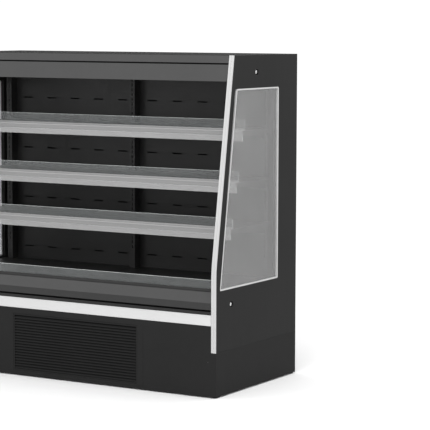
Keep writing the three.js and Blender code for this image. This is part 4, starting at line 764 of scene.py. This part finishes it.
def end_bolt(node):
    """A domed bolt head with a socket, in a black cup that is painted shade for the recess, and a
    shank behind it.
    """
    low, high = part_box(node)
    sign = 1 if low.x > 0 else -1
    centre = (0, (low.y + high.y) / 2, (low.z + high.z) / 2)
    tip = high.x if sign > 0 else low.x
    radius, head = (high.y - low.y) / 2, BOLT_HEAD
    t = np.linspace(0, np.pi / 2, 9)
    dome = np.column_stack([radius * np.cos(t) * 0.96 + 0.04 * radius * (t < 1.5),
                            tip - sign * (head - head * np.sin(t))])
    dome[-1] = (BOLT_SOCKET, tip)
    shank_end, socket_floor = low.x if sign > 0 else high.x, tip - sign * SOCKET_DEPTH
    profile = np.vstack([
        [(BOLT_SHANK_RADIUS, shank_end), (BOLT_SHANK_RADIUS, tip - sign * head),
         (radius * 0.98, tip - sign * head)],
        dome,
        [(BOLT_SOCKET * 0.92, socket_floor), (0.5 * MM, socket_floor)],
    ])
    piece_of(f"{node}_dome", turned_round(profile, centre, "x", 36), FINISHES["end_bolt"],
             stands_for=node)
    # a black cup that lines the recess: painted shade, darker than the panel where the recess lies
    # in shade
    face, floor = sign * OUTER_X, tip - sign * (head - 0.4 * MM)
    shade_cup = [(CUP_RADIUS, floor), (CUP_RADIUS, face - sign * 0.6 * MM),
           (CUP_RADIUS - 0.5 * MM, face - sign * 0.2 * MM), (CUP_MOUTH, face - sign * 0.6 * MM),
           (CUP_MOUTH - 0.6 * MM, floor + sign * 1.4 * MM),
           (radius + 0.8 * MM, floor + sign * 0.8 * MM), (radius + 0.8 * MM, floor)]
    piece_of(f"{node}_cup", spun(shade_cup, centre, "x", 36), FINISHES["black_plastic"],
             slot="black_plastic")


def pan_head(centre, axis, sign, radius=3.6 * MM):
    """A domed screw head with a cross recess, its dome towards the sign's side of the axis."""
    place = np.array(centre, float)
    along = {"x": 0, "y": 1, "z": 2}[axis]
    level = place[along]
    place[along] = 0
    t = np.linspace(0, np.pi / 2 - 0.25, 5)
    dome = np.column_stack([radius * np.cos(t), level + sign * 0.55 * radius * np.sin(t)])
    rim = [(radius, level - sign * 0.3 * MM)]
    return turned_round(np.vstack([rim, dome]), place, axis, 20)


# ---- Bumper, grille and ticket rails --------------------------------------------------------


def bumper():
    """The bumper: a channel open to the back with a rounded bead along each edge of its face."""
    low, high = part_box("bumper_rail")
    face, rear = low.y - FRONT_Y, high.y - FRONT_Y
    foot, top = low.z, high.z
    wall, bead = 3 * MM, 6 * MM
    outline = [
        (rear, foot), (face, foot), (face, foot + bead), (face + 1.2 * MM, foot + bead + 1 * MM),
        (face + 1.2 * MM, top - bead - 1 * MM), (face, top - bead), (face, top), (rear, top),
        (rear, top - wall), (face + wall + 1 * MM, top - wall),
        (face + wall + 1 * MM, foot + wall), (rear, foot + wall),
    ]
    radii = np.array([0.4, 3.5, 1.2, 0.6, 0.6, 1.2, 3.5, 0.4, 0.4, 0.8, 0.8, 0.4]) * MM
    shape = across(rounded(outline, radii, 5), low.x, high.x, 9)
    piece_of("bumper_channel", shape, FINISHES["bumper"], stands_for="bumper_rail", **spans(shape))


LOUVRE_PITCH = 17.4 * MM
GRILLE_FRAME = 9 * MM


def plinth_grille():
    """A frame with folded louvres: each blade rises to the back between two rolled edges."""
    low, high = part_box("plinth_grille")
    depth = high.y - low.y
    rim = 1.5 * MM
    frame_bars = []
    for x0, x1, z0, z1 in (
        (low.x, high.x, high.z - GRILLE_FRAME, high.z),
        (low.x, high.x, low.z, low.z + GRILLE_FRAME),
        (low.x, low.x + GRILLE_FRAME, low.z + GRILLE_FRAME, high.z - GRILLE_FRAME),
        (high.x - GRILLE_FRAME, high.x, low.z + GRILLE_FRAME, high.z - GRILLE_FRAME),
    ):
        frame_bars.append(brick((x0, low.y, z0), (x1, high.y, z1), rim * 0.5))
    open_height = high.z - low.z - 2 * GRILLE_FRAME
    count = int(open_height / LOUVRE_PITCH)
    middle = (high.z + low.z) / 2
    levels = middle + (np.arange(count) - (count - 1) / 2) * LOUVRE_PITCH
    rise, thin = 6.6 * MM, 1.3 * MM
    blade = rounded([
        (1.0 * MM, -rise - 2.5 * MM), (1.0 * MM + thin, -rise - 2.5 * MM),
        (1.0 * MM + thin, -rise), (depth + 4 * MM, rise), (depth + 4 * MM, rise + 2 * MM),
        (depth + 4 * MM - thin, rise + 2 * MM), (depth + 3 * MM - thin, rise + thin * 0.6),
        (1.0 * MM, -rise + thin),
    ], 0.5 * MM, 3)
    blades = across(blade, low.x + GRILLE_FRAME - MM, high.x - GRILLE_FRAME + MM)
    blades = blades.copies([(0, 0, level) for level in levels])
    piece_of("grille_louvres", joined([*frame_bars, blades]), FINISHES["plinth_grille"],
             stands_for="plinth_grille")


def grille_surround():
    """A thin raised strip on the plinth panel round the grille: four mitred sides at a time, as
    a section carried round a rectangle."""
    low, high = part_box("plinth_grille")
    outer = (low.x - 20 * MM, high.x + 40 * MM, low.z - 13 * MM, high.z + 4 * MM)
    inner = (low.x - 0.8 * MM, high.x + 0.8 * MM, low.z - 0.8 * MM, high.z + 0.8 * MM)
    y0, y1 = FRONT_Y - 1.2 * MM, FRONT_Y + 0.2 * MM

    def ring(edges, y):
        x0, x1, z0, z1 = edges
        return [(x0, y, z0), (x1, y, z0), (x1, y, z1), (x0, y, z1)]

    rim = 0.6 * MM
    softer = tuple(e + s * rim for e, s in zip(outer, (1, -1, 1, -1)))
    points = np.array([ring(outer, y1), ring(outer, y0 + rim), ring(softer, y0), ring(inner, y0),
                       ring(inner, y1)])
    shape = Shape(points, grid_faces(5, 4, ring_rows=True, ring_columns=True))
    piece_of("grille_surround", shape, FINISHES["surround"], slot="plinth")


def plinth_screws():
    """The small screws that hold the plinth panel, near both ends."""
    place, height = OUTER_X - 53 * MM, 213 * MM
    heads = [pan_head((x, FRONT_Y, height), "y", -1, 5 * MM) for x in (-place, place)]
    piece_of("plinth_screws", joined(heads), SMOKED, slot="plinth")


RAIL_RIB = 1.5 * MM
RAIL_WALL = 2 * MM
RAIL_CLIP = 9 * MM  # height of the hook over the shelf's edge
RAIL_UPPER = 30 * MM  # height of the holder, above the flap


def price_rail(number):
    """The ticket rail: a holder with a raised band along its top, a rib along its foot and a
    hook over the shelf's edge, and below it a clear flap with a rolled lip."""
    node = f"shelf_{number}_price_rail"
    low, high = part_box(node)
    rib, wall = RAIL_RIB, RAIL_WALL
    front = low.y - FRONT_Y + rib
    hook = high.y - FRONT_Y
    top, foot = high.z - RAIL_CLIP, low.z
    split = top - RAIL_UPPER
    outline = [
        (front, split - 2.0 * MM), (front - rib, split - 0.6 * MM),
        (front - rib, split + 1.6 * MM), (front, split + 3.0 * MM),
        (front + 0.2 * MM, top - 10 * MM),
        (front - 1.2 * MM, top - 8.5 * MM), (front - 1.2 * MM, top - 1 * MM), (front, top),
        (hook - wall, top), (hook - wall, high.z), (hook, high.z),
        (hook, top - wall), (front + wall, top - wall), (front + wall, split - 2.0 * MM),
    ]
    holder = across(rounded(outline, 0.6 * MM, 4), low.x, high.x)
    piece_of(f"{node}_holder", holder, FINISHES["price_rail"], stands_for=node, **spans(holder))
    flap = [
        (front + 0.3 * MM, split - 2.4 * MM), (front + 0.3 * MM, foot + 4 * MM),
        (front - 1.2 * MM, foot + 2.6 * MM), (front - 0.6 * MM, foot),
        (front + 1.4 * MM, foot), (front + 1.8 * MM, foot + 3 * MM),
        (front + 1.8 * MM, split - 2.4 * MM),
    ]
    shape = across(rounded(flap, 0.5 * MM, 4), low.x + 0.5 * MM, high.x - 0.5 * MM)
    piece_of(f"{node}_flap", shape, TICKET_FLAP, stands_for=node, **spans(shape))


def clear_plate(node):
    """A plate of clear plastic that stands on its long edge, with polished round edges."""
    low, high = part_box(node)
    thick = high.y - low.y
    outline = rounded(rectangle((low.y - FRONT_Y, low.z), (high.y - FRONT_Y, high.z)),
                      thick * 0.35, 4)
    shape = across(outline, low.x, high.x)
    piece_of(f"{node}_plate", shape, FINISHES["clear_guard"], stands_for=node, **spans(shape))


# ---- Canopy -----------------------------------------------------------------------------------


def honeycomb():
    """The air outlet: zigzag strips side by side, each a half-hexagon wave, between two rails."""
    low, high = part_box("air_outlet_honeycomb")
    side = 7 * MM  # of one cell
    step = side * math.sqrt(3) / 2
    periods = int((high.x - low.x - 4 * MM) / (3 * side))
    start = (low.x + high.x - periods * 3 * side) / 2
    wave_x = np.array([0, 1, 1.5, 2.5]) * side
    wave_y = np.array([0, 0, 1, 1]) * step
    xs = start + (np.arange(periods)[:, None] * 3 * side + wave_x[None]).ravel()
    ys = np.tile(wave_y, periods)
    inner0, inner1 = low.y + 3 * MM, high.y - 3 * MM
    count = int((inner1 - inner0) / (2 * step))
    path = np.column_stack([xs, ys, np.full(len(xs), (low.z + high.z) / 2 + 1 * MM)])
    half, thin = (high.z - low.z) / 2 - 2 * MM, 0.35 * MM
    section = [(-half, -thin), (half, -thin), (half, thin), (-half, thin)]
    strip = carried(section, path, (0, 0, 1))
    other = carried(section, path * (1, -1, 1), (0, 0, 1))
    first = [(0, inner0 + (2 * k) * step, 0) for k in range(count)]
    second = [(0, inner0 + (2 * k + 2) * step, 0) for k in range(count)]
    rails = [brick((low.x, y0, low.z), (high.x, y0 + 2.4 * MM, high.z))
             for y0 in (low.y, high.y - 2.4 * MM)]
    ends = [brick((x0, low.y + 2.4 * MM, low.z), (x0 + 3 * MM, high.y - 2.4 * MM, high.z))
            for x0 in (low.x, high.x - 3 * MM)]
    shape = joined([strip.copies(first), other.copies(second), *rails, *ends])
    piece_of("honeycomb_strips", shape, FINISHES["honeycomb"], stands_for="air_outlet_honeycomb")


def light_bar():
    """The lamp: a curved lens under a folded housing, with a cap at each end."""
    low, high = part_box("light_bar")
    y0, y1 = low.y - FRONT_Y, high.y - FRONT_Y
    z0, z1 = low.z, high.z
    cap = 8 * MM
    lens = rounded([
        (y0 + 1 * MM, z0), (y0 + (y1 - y0) * 0.5, z0 + 0.4 * MM), (y1 - 1 * MM, z0 + 2.5 * MM),
        (y1 - 1 * MM, z0 + 16 * MM), (y0 + 1 * MM, z0 + 16 * MM),
    ], [2 * MM, 12 * MM, 2 * MM, 1 * MM, 1 * MM], 6)
    piece_of("lamp_lens", across(lens, low.x + cap, high.x - cap), FINISHES["light_bar"],
             stands_for="light_bar")
    house = rounded([
        (y0, z0 + 1.5 * MM), (y0, z1), (y1, z1), (y1, z0 + 4 * MM), (y1 - 1.2 * MM, z0 + 4 * MM),
        (y1 - 1.2 * MM, z0 + 16.6 * MM), (y0 + 0.8 * MM, z0 + 16.6 * MM),
        (y0 + 0.8 * MM, z0 + 1.5 * MM),
    ], 0.3 * MM, 3)
    piece_of("lamp_housing", across(house, low.x + cap, high.x - cap), FINISHES["rocker"],
             stands_for="light_bar", slot="light_bar")
    block = rounded([(y0, z0), (y1, z0 + 2.5 * MM), (y1, z1), (y0, z1)], 1.5 * MM, 4)
    caps = [across(block, x, x + cap - 0.3 * MM) for x in (low.x, high.x - cap + 0.3 * MM)]
    piece_of("lamp_end_caps", joined(caps), PALE_KEYS, stands_for="light_bar", slot="light_bar")


def rear_screws():
    """Screw heads along the roof cover's rear edge and down the rear plinth panel's ends."""
    low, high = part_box("roof_cover")
    xs = np.linspace(low.x + 0.06, high.x - 0.06, 8)
    heads = [pan_head((x, high.y, high.z - 0.02), "y", 1) for x in xs]
    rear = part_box("plinth_rear_panel")
    heads += [pan_head((x, rear[1].y, z), "y", 1)
              for x in (rear[0].x + 0.03, rear[1].x - 0.03) for z in (0.06, 0.22)]
    heads += [pan_head((x, rear[1].y, 0.38), "y", 1) for x in np.linspace(-0.98, 0.98, 6)]
    piece_of("rear_screws", joined(heads), ZINC, slot="canopy")


# ---- Controller -------------------------------------------------------------------------------

SEGMENTS_OF = {"0": "abcdef", "2": "abged", "5": "afgcd"}
DIGITS = (("0", -12 * MM), ("2", 0), ("5", 12 * MM))  # each digit, and its place on the window
DISPLAY_INSET = 9 * MM  # from the controller's left end to its display block
DISPLAY_WIDTH = 78 * MM
DISPLAY_FACE = 20.7 * MM  # behind the front plane
WINDOW_INSET = 17 * MM  # the keys' room on either side of the window
WINDOW_RISE = 12 * MM
KEY_INSET = 8.5 * MM


def digit(letter, centre_x, centre_z, y, width=7 * MM, height=13 * MM):
    """A seven segment digit: six-sided bars, leant a little to the right."""
    w, h, t = width / 2, height / 2, 1.7 * MM / 2
    lean = 0.12
    places = {"a": (0, h, 0), "g": (0, 0, 0), "d": (0, -h, 0), "f": (-w, h / 2, 1),
              "b": (w, h / 2, 1), "e": (-w, -h / 2, 1), "c": (w, -h / 2, 1)}
    bars = []
    for segment in SEGMENTS_OF[letter]:
        u, v, upright = places[segment]
        reach = (h / 2 if upright else w) - 0.35 * MM
        bar = np.array([(-reach, 0), (-reach + t, -t), (reach - t, -t), (reach, 0),
                        (reach - t, t), (-reach + t, t)])
        if upright:
            bar = bar[:, ::-1]
        bar = bar + (u, v)
        bar[:, 0] += bar[:, 1] * lean
        bars.append(through(bar + (centre_x, centre_z), "y", y - 0.5 * MM, y))
    return joined(bars)


def controller():
    """What stands on the controller's display block: a smoked window with lit digits, and two
    pale keys on either side of it."""
    low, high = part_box("controller")
    dressed("controller", FINISHES["black_plastic"], 0.6 * MM)
    middle = (low.z + high.z) / 2
    left = low.x + DISPLAY_INSET
    right = left + DISPLAY_WIDTH
    face = FRONT_Y + DISPLAY_FACE
    window = (left + WINDOW_INSET, right - WINDOW_INSET)
    outline = rounded(rectangle((window[0], middle - WINDOW_RISE),
                                (window[1], middle + WINDOW_RISE)), 2 * MM, 5)
    pane = through(outline, "y", face - 1.2 * MM, face - 0.1 * MM, 0.4 * MM)
    piece_of("display_window", pane, SMOKED, stands_for="controller")
    centre = (window[0] + window[1]) / 2
    point = rectangle((centre + 5.2 * MM, middle - 7.4 * MM),
                      (centre + 6.9 * MM, middle - 5.7 * MM))
    digits = [digit(letter, centre + offset, middle, face - 1.3 * MM)
              for letter, offset in DIGITS]
    digits.append(through(point, "y", face - 1.8 * MM, face - 1.3 * MM))
    piece_of("display_digits", joined(digits), SEGMENTS, stands_for="controller")
    keys = []
    for x in (left + KEY_INSET, right - KEY_INSET):
        for z in (middle - 7.5 * MM, middle + 7.5 * MM):
            key = rounded(rectangle((x - 5.5 * MM, z - 4.5 * MM), (x + 5.5 * MM, z + 4.5 * MM)),
                          2.5 * MM, 6)
            keys.append(through(key, "y", face - 1.6 * MM, face - 0.1 * MM, 0.5 * MM))
    piece_of("display_keys", joined(keys), PALE_KEYS, stands_for="controller")


# ---- Cold and condensing side ------------------------------------------------------------------


BLADE_RINGS = 9  # sections along a blade
BLADE_CORNERS = 14  # corners of each section
FAN_BLADES = 5


def blades(count, centre, inner, outer, chord, root, tip, thick):
    """Twisted blades round a line along Y. At each radius the section is a flat oval, turned by
    an angle that goes from root to tip; its points lie at radius r along the blade, and across
    it by u along (cos a, sin a) and v along (-sin a, cos a) of the turning and axial ways."""
    r = np.linspace(inner, outer, BLADE_RINGS)[:, None]
    share = (r - inner) / (outer - inner)
    angle = root + (tip - root) * share
    k = np.linspace(0, 2 * np.pi, BLADE_CORNERS, endpoint=False)[None]
    width = chord * (0.78 + 0.3 * np.sin(np.pi * share * 0.8))
    u, v = 0.5 * width * np.cos(k), 0.5 * thick * np.sin(k) + 0.05 * width * np.cos(2 * k)
    spin = u * np.cos(angle) - v * np.sin(angle)
    axial = u * np.sin(angle) + v * np.cos(angle)
    points = np.stack([spin, axial, np.broadcast_to(r, spin.shape)], -1)
    blade = Shape(points, grid_faces(BLADE_RINGS, BLADE_CORNERS, ring_columns=True),
                  end_faces(BLADE_RINGS, BLADE_CORNERS)).moved(centre)
    return joined([blade.turned(2 * np.pi * i / count, centre, "y") for i in range(count)])


def fan(node, inner, chord):
    """A hub with a domed nose and five twisted blades."""
    low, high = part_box(node)
    middle = (high.y + low.y) / 2
    # the hub's centre: the blades' box isn't even about it, so it is the joint's place
    joint = next(j for j in frame["record"]["behaviour"]["joints"] if j["child"] == node)
    x, _, z = joint["pos_m"]
    outer = high.z - z
    half = (high.y - low.y) / 2
    hub = turned_round([(2 * MM, low.y + 0.3 * MM), (inner * 0.7, low.y + 0.4 * MM),
                        (inner * 0.94, low.y + 2 * MM), (inner, low.y + 5 * MM),
                        (inner, high.y - 0.6 * MM), (inner - 0.6 * MM, high.y),
                        (2 * MM, high.y)], (x, 0, z), "y", 40)
    pitch = math.asin(min(0.95, 2 * (half - 1.5 * MM) / chord))
    shape = hub + blades(FAN_BLADES, (x, middle, z), inner - 1.5 * MM, outer, chord,
                         pitch, pitch * 0.62, 2.2 * MM)
    piece_of(f"{node}_rotor", shape, FINISHES["fan_blades"], stands_for=node)


def fan_guard(name, x, z, y, radius, lift, wire=1.1 * MM):
    """A wire guard: rings of round wire, flat in the middle, on eight spokes that bend back
    to the ring that it is fixed to."""
    rings = [wire_ring(r, wire, (x, y, z), "y") for r in np.linspace(0.25, 0.95, 5) * radius]
    spokes = []
    for angle in np.linspace(0, 2 * np.pi, 8, endpoint=False):
        way = np.array([math.cos(angle), 0, math.sin(angle)])
        start, end = np.array([x, y, z]) + way * radius * 0.12, np.array([x, y, z]) + way * radius
        rim = end + way * 2 * MM + np.array([0, lift, 0])
        spokes.append(tube(bent_line([start, end, rim], 3 * MM, 4), wire * 1.1, 6))
    piece_of(name, joined(rings + spokes), ZINC, slot="galvanised")


def finned_coil(node, pitch, rows, levels, rim):
    """A coil: thin fins between two end plates, tubes through them and a bend at each end of
    every second pair. The bends are half circles between neighbouring tubes."""
    low, high = (np.array(corner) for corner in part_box(node))
    fin = brick((-0.12 * MM, low[1] + MM, low[2] + MM), (0.12 * MM, high[1] - MM, high[2] - MM),
                0.05 * MM)
    x0, x1 = low[0] + rim, high[0] - rim
    fins = fin.copies([(x, 0, 0) for x in np.arange(x0 + pitch, x1 - pitch / 2, pitch)])
    plates = [brick((x, low[1], low[2]), (x + 1.6 * MM, high[1], high[2]))
              for x in (x0 - 1.6 * MM, x1)]
    radius = 4.8 * MM
    ys = low[1] + (np.arange(rows) + 0.5) * (high[1] - low[1]) / rows
    zs = low[2] + (np.arange(levels) + 0.5) * (high[2] - low[2]) / levels
    step = zs[1] - zs[0]
    pipes = []
    for y in ys:
        for i in range(0, levels - 1, 2):
            t = np.linspace(-np.pi / 2, np.pi / 2, 9)
            reach = min(rim - radius - 0.5 * MM, step / 2)
            for end, sign, first in ((x1, 1, i), (x0, -1, i + 1)):
                if first + 1 >= levels:
                    continue
                middle = (zs[first] + zs[first + 1]) / 2
                arc = np.column_stack([end + sign * reach * np.cos(t), np.full(9, y),
                                       middle + step / 2 * np.sin(t)])
                pipes.append(tube(arc, radius, 8))
        straight = tube([(x0 - 2 * MM, y, 0), (x1 + 2 * MM, y, 0)], radius, 8)
        pipes.append(straight.copies([(0, 0, z) for z in zs]))
    piece_of(f"{node}_fins", joined([fins, *plates]), FINISHES["coil_fins"], stands_for=node)
    piece_of(f"{node}_pipes", joined(pipes), COPPER, stands_for=node)


POT_RADIUS = 88 * MM
POT_X = 0.166
PLATE_HALF = 104 * MM  # half the side of the pot's foot plate
TUB_ENTRY = 0.402  # height where the pipes go into the insulated body
CONDENSER_PORT = (-0.246, -0.365)  # X and Y of the condenser's two pipe ends
HOT_LEVEL, COOL_LEVEL = 0.315, 0.11  # heights of those two ends
LIQUID_X = -0.27
LIQUID_LEVEL = 0.13
SUCTION_X, SUCTION_LEVEL = 0.62, 0.372


def compressor():
    """A drawn pot with a weld bead round its belt on a footed plate, with rubber bushes and a
    terminal cover. The pot's radius follows a quarter of a flat oval at both ends."""
    low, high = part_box("compressor")
    radius, x = POT_RADIUS, POT_X
    y = (low.y + high.y) / 2
    base, top = low.z + 6 * MM, high.z
    foot, crown = 30 * MM, 62 * MM  # heights of the rounded ends
    t = np.linspace(0, np.pi / 2, 10)
    lower = np.column_stack([radius * (0.45 + 0.55 * np.sin(t)), base + foot * (1 - np.cos(t))])
    upper = np.column_stack([radius * (0.06 + 0.94 * np.cos(t)), top - crown + crown * np.sin(t)])
    belt = base + 0.52 * (top - base)
    bead = [(radius, belt - 3 * MM), (radius + 1.6 * MM, belt - 1.4 * MM),
            (radius + 1.6 * MM, belt + 1.4 * MM), (radius, belt + 3 * MM)]
    pot = turned_round(np.vstack([lower, bead, upper]), (x, y, 0), "z", 48)
    half = PLATE_HALF
    plate_line = rounded(rectangle((x - half, y - half), (x + half, y + half)), 22 * MM, 6)
    plate = through(plate_line, "z", low.z, low.z + 3 * MM, 0.5 * MM)
    middle = (base + top) / 2
    cover = rounded(rectangle((y - 52 * MM, middle - 35 * MM), (y + 52 * MM, middle + 35 * MM)),
                    8 * MM, 5)
    box = through(cover, "x", x + radius * 0.62, high.x, 2.5 * MM)
    piece_of("compressor_pot", pot + plate, FINISHES["compressor"], stands_for="compressor")
    piece_of("compressor_terminal_cover", box, FINISHES["black_plastic"], stands_for="compressor",
             slot="compressor")
    bushes = [turned_round([(11 * MM, low.z + 3 * MM), (12 * MM, low.z + 5 * MM),
                            (9 * MM, low.z + 12 * MM), (4 * MM, low.z + 13 * MM)],
                           (x + dx * 88 * MM, y + dy * 88 * MM, 0), "z", 20)
              for dx in (-1, 1) for dy in (-1, 1)]
    piece_of("compressor_bushes", joined(bushes), FINISHES["levelling_foot"], slot="compressor")
    pipework(x, y, radius, middle)


def pipework(x, y, radius, middle):
    """The pipes from the pot to the condenser, from the drier to the insulated body, and from
    there back to the pot. Each is a tube along straight runs with bends between them."""
    port_x, port_y = CONDENSER_PORT
    stub_x, front = x - radius - 35 * MM, y - 0.11
    discharge = bent_line([
        (x - radius + 4 * MM, y, middle), (stub_x, y, middle), (stub_x, front, middle),
        (stub_x, front, HOT_LEVEL), (port_x - 16 * MM, front, HOT_LEVEL),
        (port_x - 16 * MM, port_y, HOT_LEVEL), (port_x, port_y, HOT_LEVEL)], 18 * MM)
    behind = y + radius + 40 * MM
    suction = bent_line([
        (x - 20 * MM, y + radius - 8 * MM, middle + 20 * MM),
        (x - 20 * MM, behind, middle + 20 * MM), (x - 20 * MM, behind, SUCTION_LEVEL),
        (SUCTION_X, behind, SUCTION_LEVEL),
        (SUCTION_X, behind, TUB_ENTRY)], 24 * MM)
    piece_of("discharge_pipe", tube(discharge, 4 * MM, 10), COPPER, slot="compressor")
    piece_of("suction_pipe", tube(suction, 7.5 * MM, 12), PIPE_FOAM, slot="compressor")
    drier = tube([(LIQUID_X, -0.2, LIQUID_LEVEL), (LIQUID_X, -0.08, LIQUID_LEVEL)], 12 * MM, 16)
    liquid = bent_line([
        (port_x, port_y, COOL_LEVEL), (LIQUID_X, port_y, COOL_LEVEL),
        (LIQUID_X, -0.3, LIQUID_LEVEL), (LIQUID_X, 0.02, LIQUID_LEVEL), (LIQUID_X, 0.06, 0.2),
        (LIQUID_X, 0.06, TUB_ENTRY)], 20 * MM)
    piece_of("liquid_line", drier + tube(liquid, 3.2 * MM, 10), COPPER, slot="compressor")


# ---- Feet -------------------------------------------------------------------------------------


def levelling_foot(node):
    """A rubber pad, a threaded stem and a chamfered hexagon nut. The stem's radius goes up and
    down once for each turn of its thread."""
    low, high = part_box(node)
    centre = ((low.x + high.x) / 2, (low.y + high.y) / 2, 0)
    pad = [(20 * MM, 0), (22.6 * MM, 0.8 * MM), (23 * MM, 3 * MM), (22.4 * MM, 5.6 * MM),
           (20 * MM, 6.6 * MM), (12 * MM, 8.4 * MM), (10 * MM, 10 * MM)]
    piece_of(f"{node}_pad", turned_round(pad, centre, "z", 40), FINISHES["levelling_foot"],
             stands_for=node)
    pitch = 1.75 * MM
    z = np.arange(9.5 * MM, high.z - 1 * MM, pitch / 2)
    radius = np.where(np.arange(len(z)) % 2 == 0, 5.3 * MM, 6 * MM)
    stem = turned_round(np.column_stack([radius, z]), centre, "z", 20)
    nut_top = 29.6 * MM
    nut = turned_round([(9.6 * MM, nut_top - 9 * MM), (11 * MM, nut_top - 8 * MM),
                        (11 * MM, nut_top - 1 * MM), (9.6 * MM, nut_top)], centre, "z", 6)
    piece_of(f"{node}_stem", stem + nut, ZINC, stands_for=node)


# ---- Making the cabinet --------------------------------------------------------------------

for side in SIDES:
    dressed(f"end_panel_{side}", FINISHES["end_panel"], 1.2 * MM)
    dressed(f"plinth_side_{side}", FINISHES["plinth"], 0.5 * MM)
    edge_trim(side)
    window_seal(side)
    for level in ("lower", "upper"):
        end_bolt(f"end_bolt_{side}_{level}")

for node, edges in {
    "plinth_front_panel": 0.8, "plinth_rear_panel": 0.4, "roof_cover": 0.9, "canopy_fascia": 0.9,
    "nose_profile": 1.2, "bumper_carrier": 0.5, "insulated_body": 1.5, "chassis_frame": 2.0,
    "upright_left": 0.5, "upright_centre": 0.5, "upright_right": 0.5, "duct_panel": 0.4,
    "return_air_grille": 0.4, "deck_pan_left": 0.8, "deck_pan_right": 0.8, "power_switch": 0.5,
    "evaporator_fan_plate": 0.4, "condenser_fan_shroud": 0.5,
}.items():
    dressed(node, FINISHES[SLOT_OF[node]], edges * MM)

for number in (1, 2, 3):
    dressed(f"shelf_{number}_plate", FINISHES["shelf"], 0.6 * MM)
    dressed(f"shelf_{number}_support", FINISHES["shelf"], 0.5 * MM)
    price_rail(number)
    clear_plate(f"shelf_{number}_stop")
clear_plate("deck_riser")
fan("evaporator_fan_left", 24 * MM, 34 * MM)
fan("evaporator_fan_right", 24 * MM, 34 * MM)
fan("condenser_fan", 34 * MM, 46 * MM)
for side, sign in SIDES.items():
    fan_guard(f"fan_guard_{side}", sign * 0.45, 0.52, back(0.2855), 70 * MM, 11 * MM)
finned_coil("evaporator_coil", 8 * MM, 6, 4, 14 * MM)
finned_coil("condenser_coil", 4 * MM, 3, 10, 12 * MM)
compressor()
bumper()
plinth_grille()
grille_surround()
plinth_screws()
honeycomb()
light_bar()
rear_screws()
controller()
for end in ("front", "rear"):
    for side in SIDES:
        levelling_foot(f"levelling_foot_{end}_{side}")

# the solids that nothing stands for keep their shape and get their finish
for node, thing in frame["nodes"].items():
    if not thing.hide_render:
        thing.material_slots[0].link = "OBJECT"
        thing.material_slots[0].material = FINISHES[SLOT_OF[node]]

# ---- Room and light ------------------------------------------------------------------------

FLOOR_SIZE = 30.0


def studio():
    """A pale floor without an edge in view, an even pale world and three large soft lamps."""
    half = FLOOR_SIZE / 2
    mesh = bpy.data.meshes.new("floor")
    mesh.from_pydata([(-half, -half, 0), (half, -half, 0), (half, half, 0), (-half, half, 0)],
                     [], [(0, 1, 2, 3)])
    mesh.materials.append(studio_floor("floor_paint"))
    floor = bpy.data.objects.new("floor", mesh)
    bpy.context.scene.collection.objects.link(floor)
    world = bpy.data.worlds.new("studio")
    bpy.context.scene.world = world
    world.use_nodes = True
    world.node_tree.nodes["Background"].inputs["Color"].default_value = (1, 1, 1, 1)
    world.node_tree.nodes["Background"].inputs["Strength"].default_value = 1.06
    lamps = {
        "key": ((2.6, -5.6, 4.6), (0.2, 0, 1.0), 3.0, 170),
        "fill": ((-4.0, -4.5, 3.0), (0, 0, 1.0), 3.0, 30),
        "rear": ((2.5, 4.5, 4.0), (0, 0, 1.2), 3.0, 50),
    }
    for name, (place, aim, size, power) in lamps.items():
        light = bpy.data.lights.new(name, "AREA")
        light.size, light.energy = size, power
        lamp = bpy.data.objects.new(name, light)
        lamp.location = place
        way = np.array(aim) - np.array(place)
        lamp.rotation_euler = Vector(way).to_track_quat("-Z", "Y").to_euler()
        bpy.context.scene.collection.objects.link(lamp)
    bpy.context.scene.view_settings.view_transform = "Standard"


studio()
